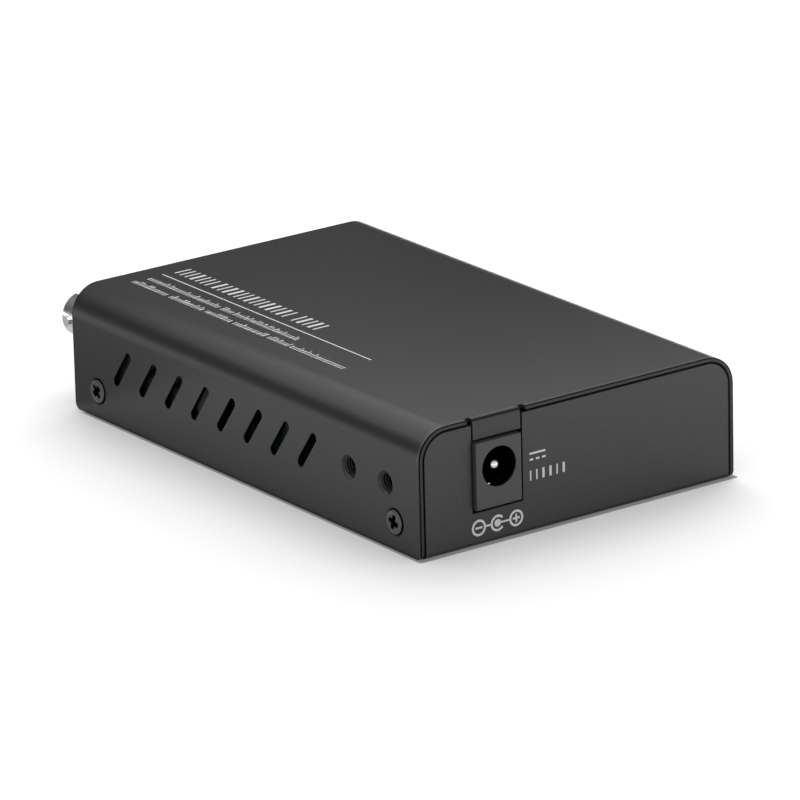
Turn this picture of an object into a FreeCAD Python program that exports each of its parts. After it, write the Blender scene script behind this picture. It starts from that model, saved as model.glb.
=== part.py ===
import FreeCAD, Part
"""Fibre media converter: a folded sheet-steel box with one duplex ST fibre port and one RJ45 port.

Frame: millimetres, +Z up, the origin at the middle of the underside. The fibre barrels, the RJ45
socket and the lamps face -Y, the DC inlet faces +Y, and the fibre side of the box is +X.
The case is two folded sheets. The chassis is the floor with both end panels, and the cover is the
top with both vented sides, screwed to four ears of the chassis. The circuit board stands on four
welded pillars and carries everything else.
"""
import math
import os
from FreeCAD import Rotation, Vector

X_AXIS, Y_AXIS, Z_AXIS = Vector(1, 0, 0), Vector(0, 1, 0), Vector(0, 0, 1)
OVERCUT = 1.0                  # how far a cutter runs past the face that it opens

# ---- sheet metal ----
sheet = 0.7                    # steel sheet of the cover and the chassis
seam_gap = 0.15                # between the cover's inside and the chassis
cover_bend = 5.0               # outer radius of the cover's two long bends
chassis_bend = 0.9             # outer radius of the chassis's bends
cover_foot_radius = 1.2        # rounding of the side plates' lower corners
case_depth = 94.0

# ---- board and the height of the case ----
pillar_height = 3.7            # from the floor's upper face to the board
board_thickness = 1.6
lid_clearance = 0.4            # over the RJ45 socket, the tallest piece
ear_clearance = 0.45           # between the board's edge and the ears
board_front_gap = 0.6          # between the board and the front panel
board_rear_gap = 1.3
board_corner = 1.0
bay_clearance = 0.75           # round the tip of each cover screw, in the board's edge

# ---- what stands side by side behind the front panel, from -X to +X ----
rj45_side_margin = 3.6         # case side to socket, clear of the cover's bend
rj45_width = 16.2
port_gap = 2.0
lamp_block_width = 9.45
fibre_width = 25.0
fibre_side_margin = 1.75       # clear of the ears

# ---- vents, one slanted row in each side ----
vent_count = 8
vent_pitch = 7.25
vent_width = 1.6
vent_length = 7.6              # end to end
vent_slant = 37.0              # degrees from upright, leaning to the rear
vent_height = 10.0             # middle of a slot above the underside
vent_front_inset = 14.05       # from the front edge to the middle of the first slot

# ---- raised countersunk cover screws, M2.5, two a side ----
cover_screw_radius = 1.25
cover_screw_head_radius = 2.05
cover_screw_dome = 0.4         # height of the raised head over its rim
cover_recess_reach = 1.2       # half the span of the cross
cover_recess_arm = 0.5
cover_recess_depth = 0.9
cover_screw_length = 4.0
countersink_radius = 2.25      # where the 90 degree seat meets the outer face
cover_screw_height = 4.55
cover_screw_front_inset = 6.7
cover_screw_rear_inset = 6.6
cover_screw_turns = (40.0, 12.0)   # how far the cross of each one ended up turned, front and rear
thread_clearance = 0.05
ear_width = 8.0
ear_height = 7.2
ear_corner_bevel = 1.5
ear_relief = 0.5               # slit beside each ear in the floor

# ---- tapped M3 holes for a rail bracket, two a side, drawn inwards as collars ----
bracket_hole_radius = 1.5
bracket_hole_lip = 0.4         # 45 degree entry where the collar was drawn
bracket_collar_wall = 0.6
bracket_collar_depth = 1.3     # beyond the sheet
bracket_hole_height = 10.2
bracket_hole_spacing = 9.45
bracket_hole_rear_inset = 8.8    # from the rear edge to the nearer hole

# ---- DC inlet, 5.5 x 2.1 mm barrel type ----
inlet_width = 8.5
inlet_height = 10.65
inlet_length = 14.2
inlet_axis_height = 6.3        # above the board
inlet_side_inset = 14.2        # from the case side to its middle
inlet_proud = 0.9              # beyond the rear panel
inlet_bore_radius = 3.2
inlet_bore_depth = 9.5
inlet_wall = 0.75              # of the arched barrel, round the bore
inlet_edge = 0.2               # rounding of the front edges
inlet_block_length = 3.6       # the square front block
inlet_pin_radius = 1.0
inlet_pin_setback = 0.7        # tip behind the inlet's face
inlet_tab_width = 2.8
inlet_tab_thickness = 0.4      # tab of the centre pin
inlet_leaf = 0.25              # thickness of the contact spring
inlet_tab_insets = (0.5, 6.3)  # from the inlet's back to the pin's tab and to the spring's tab
inlet_spring_bow = 0.75        # how far the spring stands into the bore
inlet_lip = 1.4                # solid ring in front of the spring's slot
notch_width = 9.6              # open-topped notch of the rear panel
notch_offset = 0.3             # the notch's middle lies this far inboard of the inlet's
notch_sill_drop = 0.65         # the notch's lower edge below the board's upper face
flap_side_gap = 0.35
flap_drop = 3.4                # from the top of the case to the flap's lower edge
flap_bend = 0.9
relief_width = 1.1             # bend reliefs beside the flap
relief_depth = 1.0

# ---- RJ45 socket ----
rj45_length = 21.3
rj45_proud = 0.5
rj45_shell = 0.3
rj45_mouth_width = 11.9
rj45_mouth_height = 7.0
rj45_mouth_sill = 4.2          # mouth's lower edge above the board
rj45_mouth_depth = 13.5
rj45_mouth_roof = 0.7          # of the insert, over the mouth
rj45_mouth_margin = 0.4        # shell's opening round the mouth
rj45_fold = 0.5                # outer radius of the shell's upper folds
rj45_latch_widths = (6.4, 3.4)
rj45_latch_steps = (1.2, 2.5)  # depth of each latch step below the mouth
rj45_insert_length = 16.8
rj45_insert_drop = 1.1         # from the shell's inside to the insert's top, room for the wires
rj45_insert_side_gap = 0.45
rj45_comb_start = 2.0          # behind the insert's front, where the slot for the wires begins
rj45_comb_margin = 0.3
rj45_wire_gap = 1.6            # between the insert's back and the wires
rj45_wire_start = 2.6          # behind the insert's front, where the wires turn down
rj45_wire_knee = (0.25, 0.5)   # the bend there, back and down
rj45_wire_count = 8
rj45_wire_pitch = 1.02
rj45_wire = 0.35
rj45_wire_drop = 2.9           # how far the free ends reach down into the mouth
rj45_wire_reach = 7.0          # length of the part that slopes into the mouth
rj45_window_height = 2.2       # windows of the side fingers
rj45_window_length = 4.8
rj45_window_start = 2.2        # from the socket's face
rj45_window_rows = (0.35, 0.72)    # share of the socket's height
rj45_finger_tilt = 5.0
rj45_finger_gap = 0.2
rj45_tab_length = 2.0
rj45_tab_start = 13.0
rj45_cut_gap = 0.15            # round the shell, in the front panel

# ---- duplex ST transceiver ----
fibre_length = 33.0
fibre_height = 11.4
fibre_panel_gap = 0.1
fibre_corner = 1.2             # bevel of the rear corners
fibre_axis_height = 6.0        # above the board
fibre_pitch = 12.7
barrel_radius = 3.6
barrel_reach = 10.1            # beyond the front panel
barrel_hole_gap = 0.15         # round the lugs, in the front panel
barrel_flange_radius = 4.6
barrel_flange_length = 1.2
barrel_chamfer = 0.4
barrel_cup_radius = 2.75       # recess that takes the plug's body
barrel_cup_depth = 9.0
key_slot_width = 1.5
key_slot_length = 3.2
lug_radius = 0.85
lug_height = 0.85
lug_setback = 2.7              # from the rim to the lugs' middle
sleeve_radius = 1.95
ferrule_bore_radius = 1.25
sleeve_setback = 1.3           # its mouth behind the barrel's rim
sleeve_root = 5.0              # how far it stands in the housing
sleeve_floor = 1.0             # closed inner end
sleeve_chamfer = 0.3
shield_thickness = 0.25
shield_fold = 0.4
shield_front_setback = 16.0    # from the front of the housing
shield_rear_setback = 1.6      # from the back of the housing
shield_skirt = 7.2             # how far it comes down the sides
shield_seat_gap = 0.3          # between its edges and the steps of the housing
pin_count = 9
pin_pitch = 2.54
pin_side = 0.5                 # square pins
pin_rear_inset = 1.7
post_radius = 0.8
post_row_gap = 9.6             # from the pin row forward to the two posts

# ---- lamps ----
lamp_radius = 1.5
lamp_pitch_x = 4.8
lamp_pitch_z = 4.8
lamp_low_height = 4.2          # lower row above the board
lamp_proud = 0.6
lamp_hole_gap = 0.15
lamp_block_length = 7.0
lamp_bore_depth = 5.25
lamp_block_slope = 2.5         # bevel of its upper rear edge
lamp_nose = 0.5                # bevel of a lamp's front
lamp_block_height = 11.6
lead_side = 0.5                # square leads of the lamps
lamp_lead_pitch = 2.54
lamp_lead_inset = 4.2          # behind the holder's front
lead_stub = 1.0                # what shows below the board

# ---- pillars and board screws, M3 ----
pillar_flats = 5.0
board_screw_radius = 1.45
board_screw_length = 4.6
board_screw_head_radius = 2.75
board_screw_head_height = 1.9
board_recess_reach = 1.4
board_recess_arm = 0.6
board_recess_depth = 1.2
board_hole_radius = 1.6
fixing_side_inset = 3.5        # from the board's long edges
fixing_front_inset = (25.7, 36.7)  # from the board's front edge, -X side and +X side
fixing_rear_inset = 17.0

# ---- parts on the board ----
seat_gap = 0.05                # lead to its hole, all round
leg_thickness = 0.2
body_standoff = 0.25           # chip bodies above the board
chip_offset = 12.75            # from the middle of the fibre port towards -X
chip_gap = 12.0                # behind the fibre port
chip_side = 14.0
chip_bevel = 0.25
chip_height = 1.4
chip_legs_per_side = 8
chip_leg_pitch = 1.27
chip_leg_width = 0.35
chip_leg_reach = 1.1
transformer_offset = 5.6       # from the middle of the RJ45 socket towards +X
transformer_size = (13.2, 16.6, 5.6)
transformer_bevel = 0.35
transformer_leg_exit = 1.5     # height at which its legs leave the body
transformer_legs_per_side = 8
transformer_leg_pitch = 1.78
transformer_leg_width = 0.45
transformer_leg_reach = 1.3
transformer_gap = 3.0          # behind the RJ45 socket
regulator_gap = 3.05           # in front of the capacitors
regulator_size = (3.9, 4.9, 1.5)
regulator_bevel = 0.2
regulator_leg_pitch = 1.27
regulator_leg_width = 0.4
regulator_legs_per_side = 4
regulator_leg_reach = 1.0
crystal_offset = 4.0           # from the middle of the fibre port towards -X
crystal_gap = 3.25             # behind the fibre port
crystal_size = (11.0, 4.5, 3.4)
crystal_foot = 0.4             # thickness of the foot, and the bevel of the can's top
crystal_rim = 0.25             # how far the foot stands out
capacitor_radius = 4.0
capacitor_height = 11.5
capacitor_foot = 1.2           # height of the square foot
capacitor_foot_bevel = 1.5     # its two cut corners, which mark the polarity
capacitor_crimp = 0.45
capacitor_gap = 1.0            # between the two
capacitor_inlet_gap = 4.25     # between the nearer one and the DC inlet
capacitor_edge_gap = 1.8       # to the board's rear edge
inductor_gap = 1.6             # to the capacitors
inductor_edge_gap = 3.0        # to the board's rear edge
inductor_side = 10.0
inductor_height = 4.0
inductor_corner = 2.0
inductor_terminal = 0.3        # thickness of its terminals
inductor_pad_width = 1.6
fuse_gap = 2.65                # in front of the DC inlet
fuse_size = (6.1, 2.7, 1.6)
fuse_cap = 1.2                 # length of each end cap
diode_gap = 3.8                # to the fuse
diode_size = (4.3, 2.6, 2.2)
diode_cap = 0.5
chip_capacitor_size = (2.0, 1.25, 0.9)
chip_capacitor_cap = 0.45
chip_capacitor_gap = 0.6       # to the legs of the converter chip
chip_capacitor_pitch = 4.6
chip_capacitor_count = 6
cap_step = 0.08                # end caps stand out from the body by this much

# ---- worked out from the values above ----
rj45_height = rj45_mouth_sill + rj45_mouth_height + rj45_mouth_roof + rj45_insert_drop + rj45_shell
board_top = sheet + pillar_height + board_thickness
board_bottom = sheet + pillar_height
case_height = board_top + rj45_height + lid_clearance + sheet
case_width = (rj45_side_margin + rj45_width + port_gap + lamp_block_width + port_gap
              + fibre_width + fibre_side_margin)
side_face = case_width / 2
front_face = -case_depth / 2
rear_face = case_depth / 2
chassis_half = side_face - sheet - seam_gap
chassis_top = case_height - sheet - seam_gap
ear_inside = chassis_half - sheet
board_half = ear_inside - ear_clearance
board_front = front_face + sheet + board_front_gap
board_rear = rear_face - sheet - board_rear_gap
cover_screw_rows = (front_face + cover_screw_front_inset, rear_face - cover_screw_rear_inset)
bracket_hole_rows = (rear_face - bracket_hole_rear_inset,
                     rear_face - bracket_hole_rear_inset - bracket_hole_spacing)
inlet_x = side_face - inlet_side_inset
inlet_face = rear_face + inlet_proud
inlet_axis = board_top + inlet_axis_height
notch_x = inlet_x - notch_offset
flap_width = notch_width - 2 * flap_side_gap
rj45_x = -side_face + rj45_side_margin + rj45_width / 2
rj45_face = front_face - rj45_proud
rj45_back = rj45_face + rj45_length
fibre_x = side_face - fibre_side_margin - fibre_width / 2
fibre_front = front_face + sheet + fibre_panel_gap
fibre_back = fibre_front + fibre_length
fibre_axis = board_top + fibre_axis_height
barrel_xs = (fibre_x - fibre_pitch / 2, fibre_x + fibre_pitch / 2)
barrel_rim = front_face - barrel_reach
lamp_x = -side_face + rj45_side_margin + rj45_width + port_gap + lamp_block_width / 2
lamp_xs = (lamp_x - lamp_pitch_x / 2, lamp_x + lamp_pitch_x / 2)
lamp_zs = (board_top + lamp_low_height, board_top + lamp_low_height + lamp_pitch_z)
lamp_block_front = front_face + sheet + board_front_gap
fixing_x = board_half - fixing_side_inset
fixings = ((-fixing_x, board_front + fixing_front_inset[0]),
           (fixing_x, board_front + fixing_front_inset[1]),
           (-fixing_x, board_rear - fixing_rear_inset),
           (fixing_x, board_rear - fixing_rear_inset))
lamp_lead_row = lamp_block_front + lamp_lead_inset
lamp_lead_xs = [x + side * lamp_lead_pitch / 2 for x in lamp_xs for side in (-1, 1)]
pin_row = fibre_back - pin_rear_inset
pin_xs = [fibre_x + (i - (pin_count - 1) / 2) * pin_pitch for i in range(pin_count)]
post_xs = (fibre_x - (pin_count - 1) / 2 * pin_pitch, fibre_x + (pin_count - 1) / 2 * pin_pitch)
post_row = pin_row - post_row_gap
rj45_wire_xs = [rj45_x + (i - (rj45_wire_count - 1) / 2) * rj45_wire_pitch
                for i in range(rj45_wire_count)]
rj45_wire_row = rj45_face + rj45_insert_length + rj45_wire_gap
transformer_x = rj45_x + transformer_offset
transformer_y = rj45_back + transformer_gap + transformer_size[1] / 2
chip_x = fibre_x - chip_offset
chip_y = fibre_back + chip_gap + chip_side / 2
crystal_x = fibre_x - crystal_offset
crystal_y = fibre_back + crystal_gap + crystal_size[1] / 2
capacitor_y = board_rear - capacitor_edge_gap - capacitor_radius
capacitor_near = inlet_x - inlet_width / 2 - capacitor_inlet_gap - capacitor_radius
capacitor_xs = (capacitor_near - 2 * capacitor_radius - capacitor_gap, capacitor_near)
inductor_x = capacitor_xs[0] - capacitor_radius - inductor_gap - inductor_side / 2
inductor_y = board_rear - inductor_edge_gap - inductor_side / 2
regulator_x = capacitor_xs[0]
regulator_y = capacitor_y - capacitor_radius - regulator_gap - regulator_size[0] / 2 - regulator_leg_reach
fuse_x = inlet_x
fuse_y = inlet_face - inlet_length - fuse_gap - fuse_size[1] / 2
diode_x = fuse_x - fuse_size[0] / 2 - diode_gap - diode_size[0] / 2
diode_y = fuse_y


# ---------------------------------------------------------------- shapes used by many pieces
def block(x0, x1, y0, y1, z0, z1):
    """Box between two corners."""
    return Part.makeBox(x1 - x0, y1 - y0, z1 - z0, Vector(x0, y0, z0))


def rod(radius, start, end):
    """Round bar between two points."""
    run = end - start
    return Part.makeCylinder(radius, run.Length, start, run)


def fused(shapes):
    """One solid from pieces that touch, with the seams between flat faces taken out."""
    whole = shapes[0].multiFuse(shapes[1:]) if len(shapes) > 1 else shapes[0]
    return whole.removeSplitter()


def group(shapes):
    """Separate solids kept in one node."""
    return Part.makeCompound([solid for shape in shapes for solid in shape.Solids])


def prism(points, direction):
    """Flat polygon pushed along a direction."""
    return Part.Face(Part.makePolygon(points + points[:1])).extrude(direction)


def turned(profile, axis_point=Vector(0, 0, 0), axis=Z_AXIS):
    """Polygon of (radius, height) points turned about the upright axis."""
    points = [Vector(radius, 0, height) for radius, height in profile]
    face = Part.Face(Part.makePolygon(points + points[:1]))
    solid = face.revolve(Vector(0, 0, 0), Z_AXIS, 360)
    solid.rotate(Vector(0, 0, 0), Rotation(Z_AXIS, axis).Axis, math.degrees(Rotation(Z_AXIS, axis).Angle))
    return solid.translated(axis_point)


def mirrored_x(shape):
    """The same piece on the other side of the case."""
    return shape.mirror(Vector(0, 0, 0), X_AXIS)


def edges_at(shape, test):
    """Edges whose middle point passes a test."""
    return [edge for edge in shape.Edges if test(edge.CenterOfMass, edge)]


def arched_face(half_width, bottom, top, radius, y):
    """Upright plate outline with round upper corners, in the XZ plane at y."""
    lean = radius * (1 - math.sqrt(0.5))
    left_low, left_high = Vector(-half_width, y, bottom), Vector(-half_width, y, top - radius)
    left_mid, left_top = Vector(-half_width + lean, y, top - lean), Vector(-half_width + radius, y, top)
    right_top, right_mid = Vector(half_width - radius, y, top), Vector(half_width - lean, y, top - lean)
    right_high, right_low = Vector(half_width, y, top - radius), Vector(half_width, y, bottom)
    edges = [Part.LineSegment(left_low, left_high).toShape(),
             Part.Arc(left_high, left_mid, left_top).toShape(),
             Part.LineSegment(left_top, right_top).toShape(),
             Part.Arc(right_top, right_mid, right_high).toShape(),
             Part.LineSegment(right_high, right_low).toShape(),
             Part.LineSegment(right_low, left_low).toShape()]
    return Part.Face(Part.Wire(edges))


def ribbon(path, thickness, x_middle, width):
    """Flat strip folded along (y, z) points, its width along X."""
    sides = ([], [])
    for i, (y, z) in enumerate(path):
        before = path[max(i - 1, 0)], path[max(i, 1)]
        after = path[min(i, len(path) - 2)], path[min(i + 1, len(path) - 1)]
        normals = []
        for (y0, z0), (y1, z1) in (before, after):
            run = math.hypot(y1 - y0, z1 - z0)
            normals.append((-(z1 - z0) / run, (y1 - y0) / run))
        bisector = (normals[0][0] + normals[1][0], normals[0][1] + normals[1][1])
        size = math.hypot(*bisector)
        reach = thickness / size ** 2
        for side, sign in zip(sides, (1, -1)):
            side.append(Vector(x_middle - width / 2, y + sign * bisector[0] * reach,
                               z + sign * bisector[1] * reach))
    return prism(sides[0] + sides[1][::-1], X_AXIS * width)


def cross_recess(reach, depth, arm):
    """Cross of a screw's recess, its mouth at the origin and its floor down by depth."""
    bar = block(-reach, reach, -arm / 2, arm / 2, -depth, OVERCUT)
    return bar.fuse(bar.rotated(Vector(0, 0, 0), Z_AXIS, 90))


def gull_legs(half_body, reach, seat, exit_height, count, pitch, width):
    """Two rows of gull-wing legs along +-Y of a chip at the origin, the feet at height seat."""
    foot = reach * 0.45
    knee = half_body + reach - foot - leg_thickness
    low = seat + leg_thickness / 2
    path = [(half_body, exit_height), (knee, exit_height),
            (knee + leg_thickness, low), (half_body + reach, low)]
    legs = []
    for i in range(count):
        leg = ribbon(path, leg_thickness, (i - (count - 1) / 2) * pitch, width)
        legs += [leg, leg.mirror(Vector(0, 0, 0), Y_AXIS)]
    return legs


def chip_body(length_x, length_y, height, bevel):
    """Moulded chip body that tapers above and below its legs, its underside at z = 0."""
    solid = block(-length_x / 2, length_x / 2, -length_y / 2, length_y / 2, 0, height)
    level = edges_at(solid, lambda c, e: abs(c.z - height) < 0.01 or abs(c.z) < 0.01)
    return solid.makeChamfer(bevel, level)


# ---------------------------------------------------------------- the folded case
def vent_cutter(y):
    """One slanted slot with round ends, through the +X side."""
    lean = math.radians(vent_slant)
    half_run = (vent_length - vent_width) / 2
    inside = side_face - sheet - OVERCUT
    depth = sheet + 2 * OVERCUT
    along = Vector(0, math.sin(lean), math.cos(lean)) * half_run
    across = Vector(0, math.cos(lean), -math.sin(lean)) * (vent_width / 2)
    middle = Vector(inside, y, vent_height)
    corners = [middle + along + across, middle - along + across,
               middle - along - across, middle + along - across]
    ends = [Part.makeCylinder(vent_width / 2, depth, middle + along * side, X_AXIS) for side in (1, -1)]
    return prism(corners, X_AXIS * depth).multiFuse(ends)


def countersink_cutter(y):
    """Seat of a cover screw in the +X side: a 90 degree cone through the sheet."""
    depth = sheet + OVERCUT
    small = countersink_radius - depth
    return Part.makeCone(small, countersink_radius + OVERCUT, depth + OVERCUT,
                         Vector(side_face - depth, y, cover_screw_height), X_AXIS)


def bracket_collar(y):
    """Collar drawn inwards from the +X side, solid, to be bored afterwards."""
    radius = bracket_hole_radius + bracket_collar_wall
    return Part.makeCylinder(radius, sheet + bracket_collar_depth,
                             Vector(side_face - sheet - bracket_collar_depth, y, bracket_hole_height), X_AXIS)


def bracket_bore(y):
    """Bore of a collar with its entry at the outer face."""
    inner = side_face - sheet - bracket_collar_depth - OVERCUT
    bore = Part.makeCylinder(bracket_hole_radius, side_face + OVERCUT - inner,
                             Vector(inner, y, bracket_hole_height), X_AXIS)
    entry = Part.makeCone(bracket_hole_radius, bracket_hole_radius + bracket_hole_lip + OVERCUT,
                          bracket_hole_lip + OVERCUT,
                          Vector(side_face - bracket_hole_lip, y, bracket_hole_height), X_AXIS)
    return bore.fuse(entry)


def rear_flap():
    """Strip of the cover's top folded down over the DC inlet, with its tight bend."""
    x0, x1 = notch_x - flap_width / 2, notch_x + flap_width / 2
    bend_y, bend_z = rear_face - flap_bend, case_height - flap_bend
    quarter = Part.makeCylinder(flap_bend, flap_width, Vector(x0, bend_y, bend_z), X_AXIS)
    quarter = quarter.cut(Part.makeCylinder(flap_bend - sheet, flap_width, Vector(x0, bend_y, bend_z), X_AXIS))
    quarter = quarter.common(block(x0, x1, bend_y, rear_face, bend_z, case_height))
    leaf = block(x0, x1, rear_face - sheet, rear_face, case_height - flap_drop, bend_z)
    return quarter.fuse(leaf)


def top_cover():
    """Top and both sides from one sheet: two long bends, vents, screw seats, tapped collars, flap."""
    outer = arched_face(side_face, 0, case_height, cover_bend, front_face).extrude(Y_AXIS * case_depth)
    hollow = arched_face(side_face - sheet, -OVERCUT, case_height - sheet, cover_bend - sheet,
                         front_face - OVERCUT).extrude(Y_AXIS * (case_depth + 2 * OVERCUT))
    cover = outer.cut(hollow)
    feet = edges_at(cover, lambda c, e: abs(c.z) < 0.01 and abs(abs(c.y) - rear_face) < 0.01
                    and e.Length < 2 * sheet)
    cover = cover.makeFillet(cover_foot_radius, feet)

    flap_zone = notch_width / 2 + relief_width - flap_side_gap
    cover = cover.cut(block(notch_x - flap_zone, notch_x + flap_zone, rear_face - relief_depth,
                            rear_face + OVERCUT, case_height - sheet - OVERCUT, case_height + OVERCUT))
    tongue = block(notch_x - flap_width / 2, notch_x + flap_width / 2, rear_face - relief_depth - OVERCUT,
                   rear_face - flap_bend, case_height - sheet, case_height)
    collars = [bracket_collar(y) for y in bracket_hole_rows]
    collars += [mirrored_x(collar) for collar in collars]
    cover = fused([cover, tongue, rear_flap()] + collars)

    first_vent = front_face + vent_front_inset
    cutters = [vent_cutter(first_vent + i * vent_pitch) for i in range(vent_count)]
    cutters += [countersink_cutter(y) for y in cover_screw_rows]
    cutters += [bracket_bore(y) for y in bracket_hole_rows]
    return cover.cut(cutters + [mirrored_x(cutter) for cutter in cutters])


def ear(y):
    """Upright ear on the chassis's +X edge with the tapped hole of a cover screw."""
    inner_radius = chassis_bend - sheet
    corner = Vector(chassis_half - chassis_bend, 0, chassis_bend)

    def on_bend(radius, degrees):
        turn = math.radians(degrees)
        return corner + Vector(math.sin(turn), 0, -math.cos(turn)) * radius

    root = Vector(corner.x - OVERCUT, 0, 0)
    tip = Vector(chassis_half, 0, ear_height)
    lift = Z_AXIS * sheet
    edges = [Part.LineSegment(root, on_bend(chassis_bend, 0)).toShape(),
             Part.Arc(on_bend(chassis_bend, 0), on_bend(chassis_bend, 45), on_bend(chassis_bend, 90)).toShape(),
             Part.LineSegment(on_bend(chassis_bend, 90), tip).toShape(),
             Part.LineSegment(tip, tip - X_AXIS * sheet).toShape(),
             Part.LineSegment(tip - X_AXIS * sheet, on_bend(inner_radius, 90)).toShape(),
             Part.Arc(on_bend(inner_radius, 90), on_bend(inner_radius, 45), on_bend(inner_radius, 0)).toShape(),
             Part.LineSegment(on_bend(inner_radius, 0), root + lift).toShape(),
             Part.LineSegment(root + lift, root).toShape()]
    strip = Part.Face(Part.Wire(edges)).extrude(Y_AXIS * ear_width).translated(Vector(0, y - ear_width / 2, 0))
    corners = edges_at(strip, lambda c, e: abs(c.z - ear_height) < 0.01 and e.Length < 2 * sheet)
    strip = strip.makeChamfer(ear_corner_bevel, corners)
    tap = cover_screw_radius + thread_clearance
    hole = Part.makeCylinder(tap, sheet + 2 * OVERCUT,
                             Vector(ear_inside - OVERCUT, y, cover_screw_height), X_AXIS)
    cone = countersink_radius + thread_clearance        # the screw's 45 degree neck runs on into the ear
    seat = Part.makeCone(0, cone, cone, Vector(side_face - cone, y, cover_screw_height), X_AXIS)
    return strip.cut([hole, seat])


def bottom_chassis():
    """Floor and both end panels from one sheet, with the panels' cut-outs and four ears."""
    channel = block(-chassis_half, chassis_half, front_face, rear_face, 0, chassis_top)
    low = edges_at(channel, lambda c, e: abs(c.z) < 0.01 and abs(c.x) < 0.01)
    channel = channel.makeFillet(chassis_bend, low)
    room = block(-chassis_half - OVERCUT, chassis_half + OVERCUT, front_face + sheet, rear_face - sheet,
                 sheet, chassis_top + OVERCUT)
    low = edges_at(room, lambda c, e: abs(c.z - sheet) < 0.01 and abs(c.x) < 0.01)
    room = room.makeFillet(chassis_bend - sheet, low)
    outline = arched_face(chassis_half, -OVERCUT, chassis_top, cover_bend - sheet - seam_gap,
                          front_face - OVERCUT).extrude(Y_AXIS * (case_depth + 2 * OVERCUT))
    chassis = channel.cut(room).common(outline)

    cutters = [block(notch_x - notch_width / 2, notch_x + notch_width / 2, rear_face - sheet - OVERCUT,
                     rear_face + OVERCUT, board_top - notch_sill_drop, chassis_top + OVERCUT)]
    reach = rj45_width / 2 + rj45_cut_gap
    cutters.append(block(rj45_x - reach, rj45_x + reach, front_face - OVERCUT, front_face + sheet + OVERCUT,
                         board_top - rj45_cut_gap, chassis_top + OVERCUT))
    front = front_face - OVERCUT
    for x in barrel_xs:
        cutters.append(Part.makeCylinder(barrel_radius + lug_height + barrel_hole_gap, sheet + 2 * OVERCUT,
                                         Vector(x, front, fibre_axis), Y_AXIS))
    for x in lamp_xs:
        for z in lamp_zs:
            cutters.append(Part.makeCylinder(lamp_radius + lamp_hole_gap, sheet + 2 * OVERCUT,
                                             Vector(x, front, z), Y_AXIS))
    ears = [ear(y) for y in cover_screw_rows]
    for y in cover_screw_rows:
        reach = ear_width / 2 + ear_relief
        slit = block(chassis_half - chassis_bend, chassis_half + OVERCUT, y - reach, y + reach,
                     -OVERCUT, sheet + OVERCUT)
        cutters += [slit, mirrored_x(slit)]
    ears += [mirrored_x(piece) for piece in ears]
    return fused([chassis.cut(cutters)] + ears)


def cover_screws():
    """Four raised countersunk M2.5 screws with cross recesses, seated in the cover."""
    rim = cover_screw_head_radius - countersink_radius      # height of the head's rim, below the face
    crown = rim + cover_screw_dome
    neck = rim - (cover_screw_head_radius - cover_screw_radius)
    screw = turned([(0, crown), (cover_screw_head_radius - 2 * cover_screw_dome, crown),
                    (cover_screw_head_radius, rim), (cover_screw_radius, neck),
                    (cover_screw_radius, -cover_screw_length), (0, -cover_screw_length)])
    recess = cross_recess(cover_recess_reach, cover_recess_depth, cover_recess_arm)
    screw = screw.cut(recess.translated(Vector(0, 0, crown)))
    screws = []
    for y, turn in zip(cover_screw_rows, cover_screw_turns):
        placed = screw.rotated(Vector(0, 0, 0), Z_AXIS, turn)
        placed.rotate(Vector(0, 0, 0), Y_AXIS, 90)
        placed.translate(Vector(side_face, y, cover_screw_height))
        screws += [placed, mirrored_x(placed)]
    return group(screws)


# ---------------------------------------------------------------- the board and what holds it
def board_pillars():
    """Four hexagonal pillars welded to the floor, tapped right through."""
    pillars = []
    corner = pillar_flats / 2 / math.cos(math.radians(30))
    for x, y in fixings:
        ring = [Vector(x + corner * math.cos(math.radians(60 * i)), y + corner * math.sin(math.radians(60 * i)),
                       sheet) for i in range(6)]
        hexagon = prism(ring, Z_AXIS * pillar_height)
        thread = Part.makeCylinder(board_screw_radius + thread_clearance, pillar_height + 2 * OVERCUT,
                                   Vector(x, y, sheet - OVERCUT))
        pillars.append(hexagon.cut(thread))
    return group(pillars)


def board_screws():
    """Four cheese-head M3 screws that hold the board on the pillars."""
    radius, height = board_screw_head_radius, board_screw_head_height
    screw = turned([(0, height), (radius, height), (radius, 0), (board_screw_radius, 0),
                    (board_screw_radius, -board_screw_length), (0, -board_screw_length)])
    recess = cross_recess(board_recess_reach, board_recess_depth, board_recess_arm)
    screw = screw.cut(recess.translated(Vector(0, 0, height)))
    return group([screw.translated(Vector(x, y, board_top)) for x, y in fixings])


def square_leads():
    """Square leads that pass the board, as (x, y, side)."""
    leads = [(x, pin_row, pin_side) for x in pin_xs]
    leads += [(x, lamp_lead_row, lead_side) for x in lamp_lead_xs]
    leads += [(x, rj45_wire_row, rj45_wire) for x in rj45_wire_xs]
    return leads


def square_lead(x, y, side, high):
    """One square lead from below the board up to a height."""
    return block(x - side / 2, x + side / 2, y - side / 2, y + side / 2, board_bottom - lead_stub, high)


def inlet_tabs():
    """Solder tabs of the DC inlet as boxes (x0, x1, y0, y1), in plan."""
    back = inlet_face - inlet_length
    half = inlet_tab_width / 2
    return tuple((inlet_x - half, inlet_x + half, back + inset, back + inset + thickness)
                 for inset, thickness in zip(inlet_tab_insets, (inlet_tab_thickness, inlet_leaf)))


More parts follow.
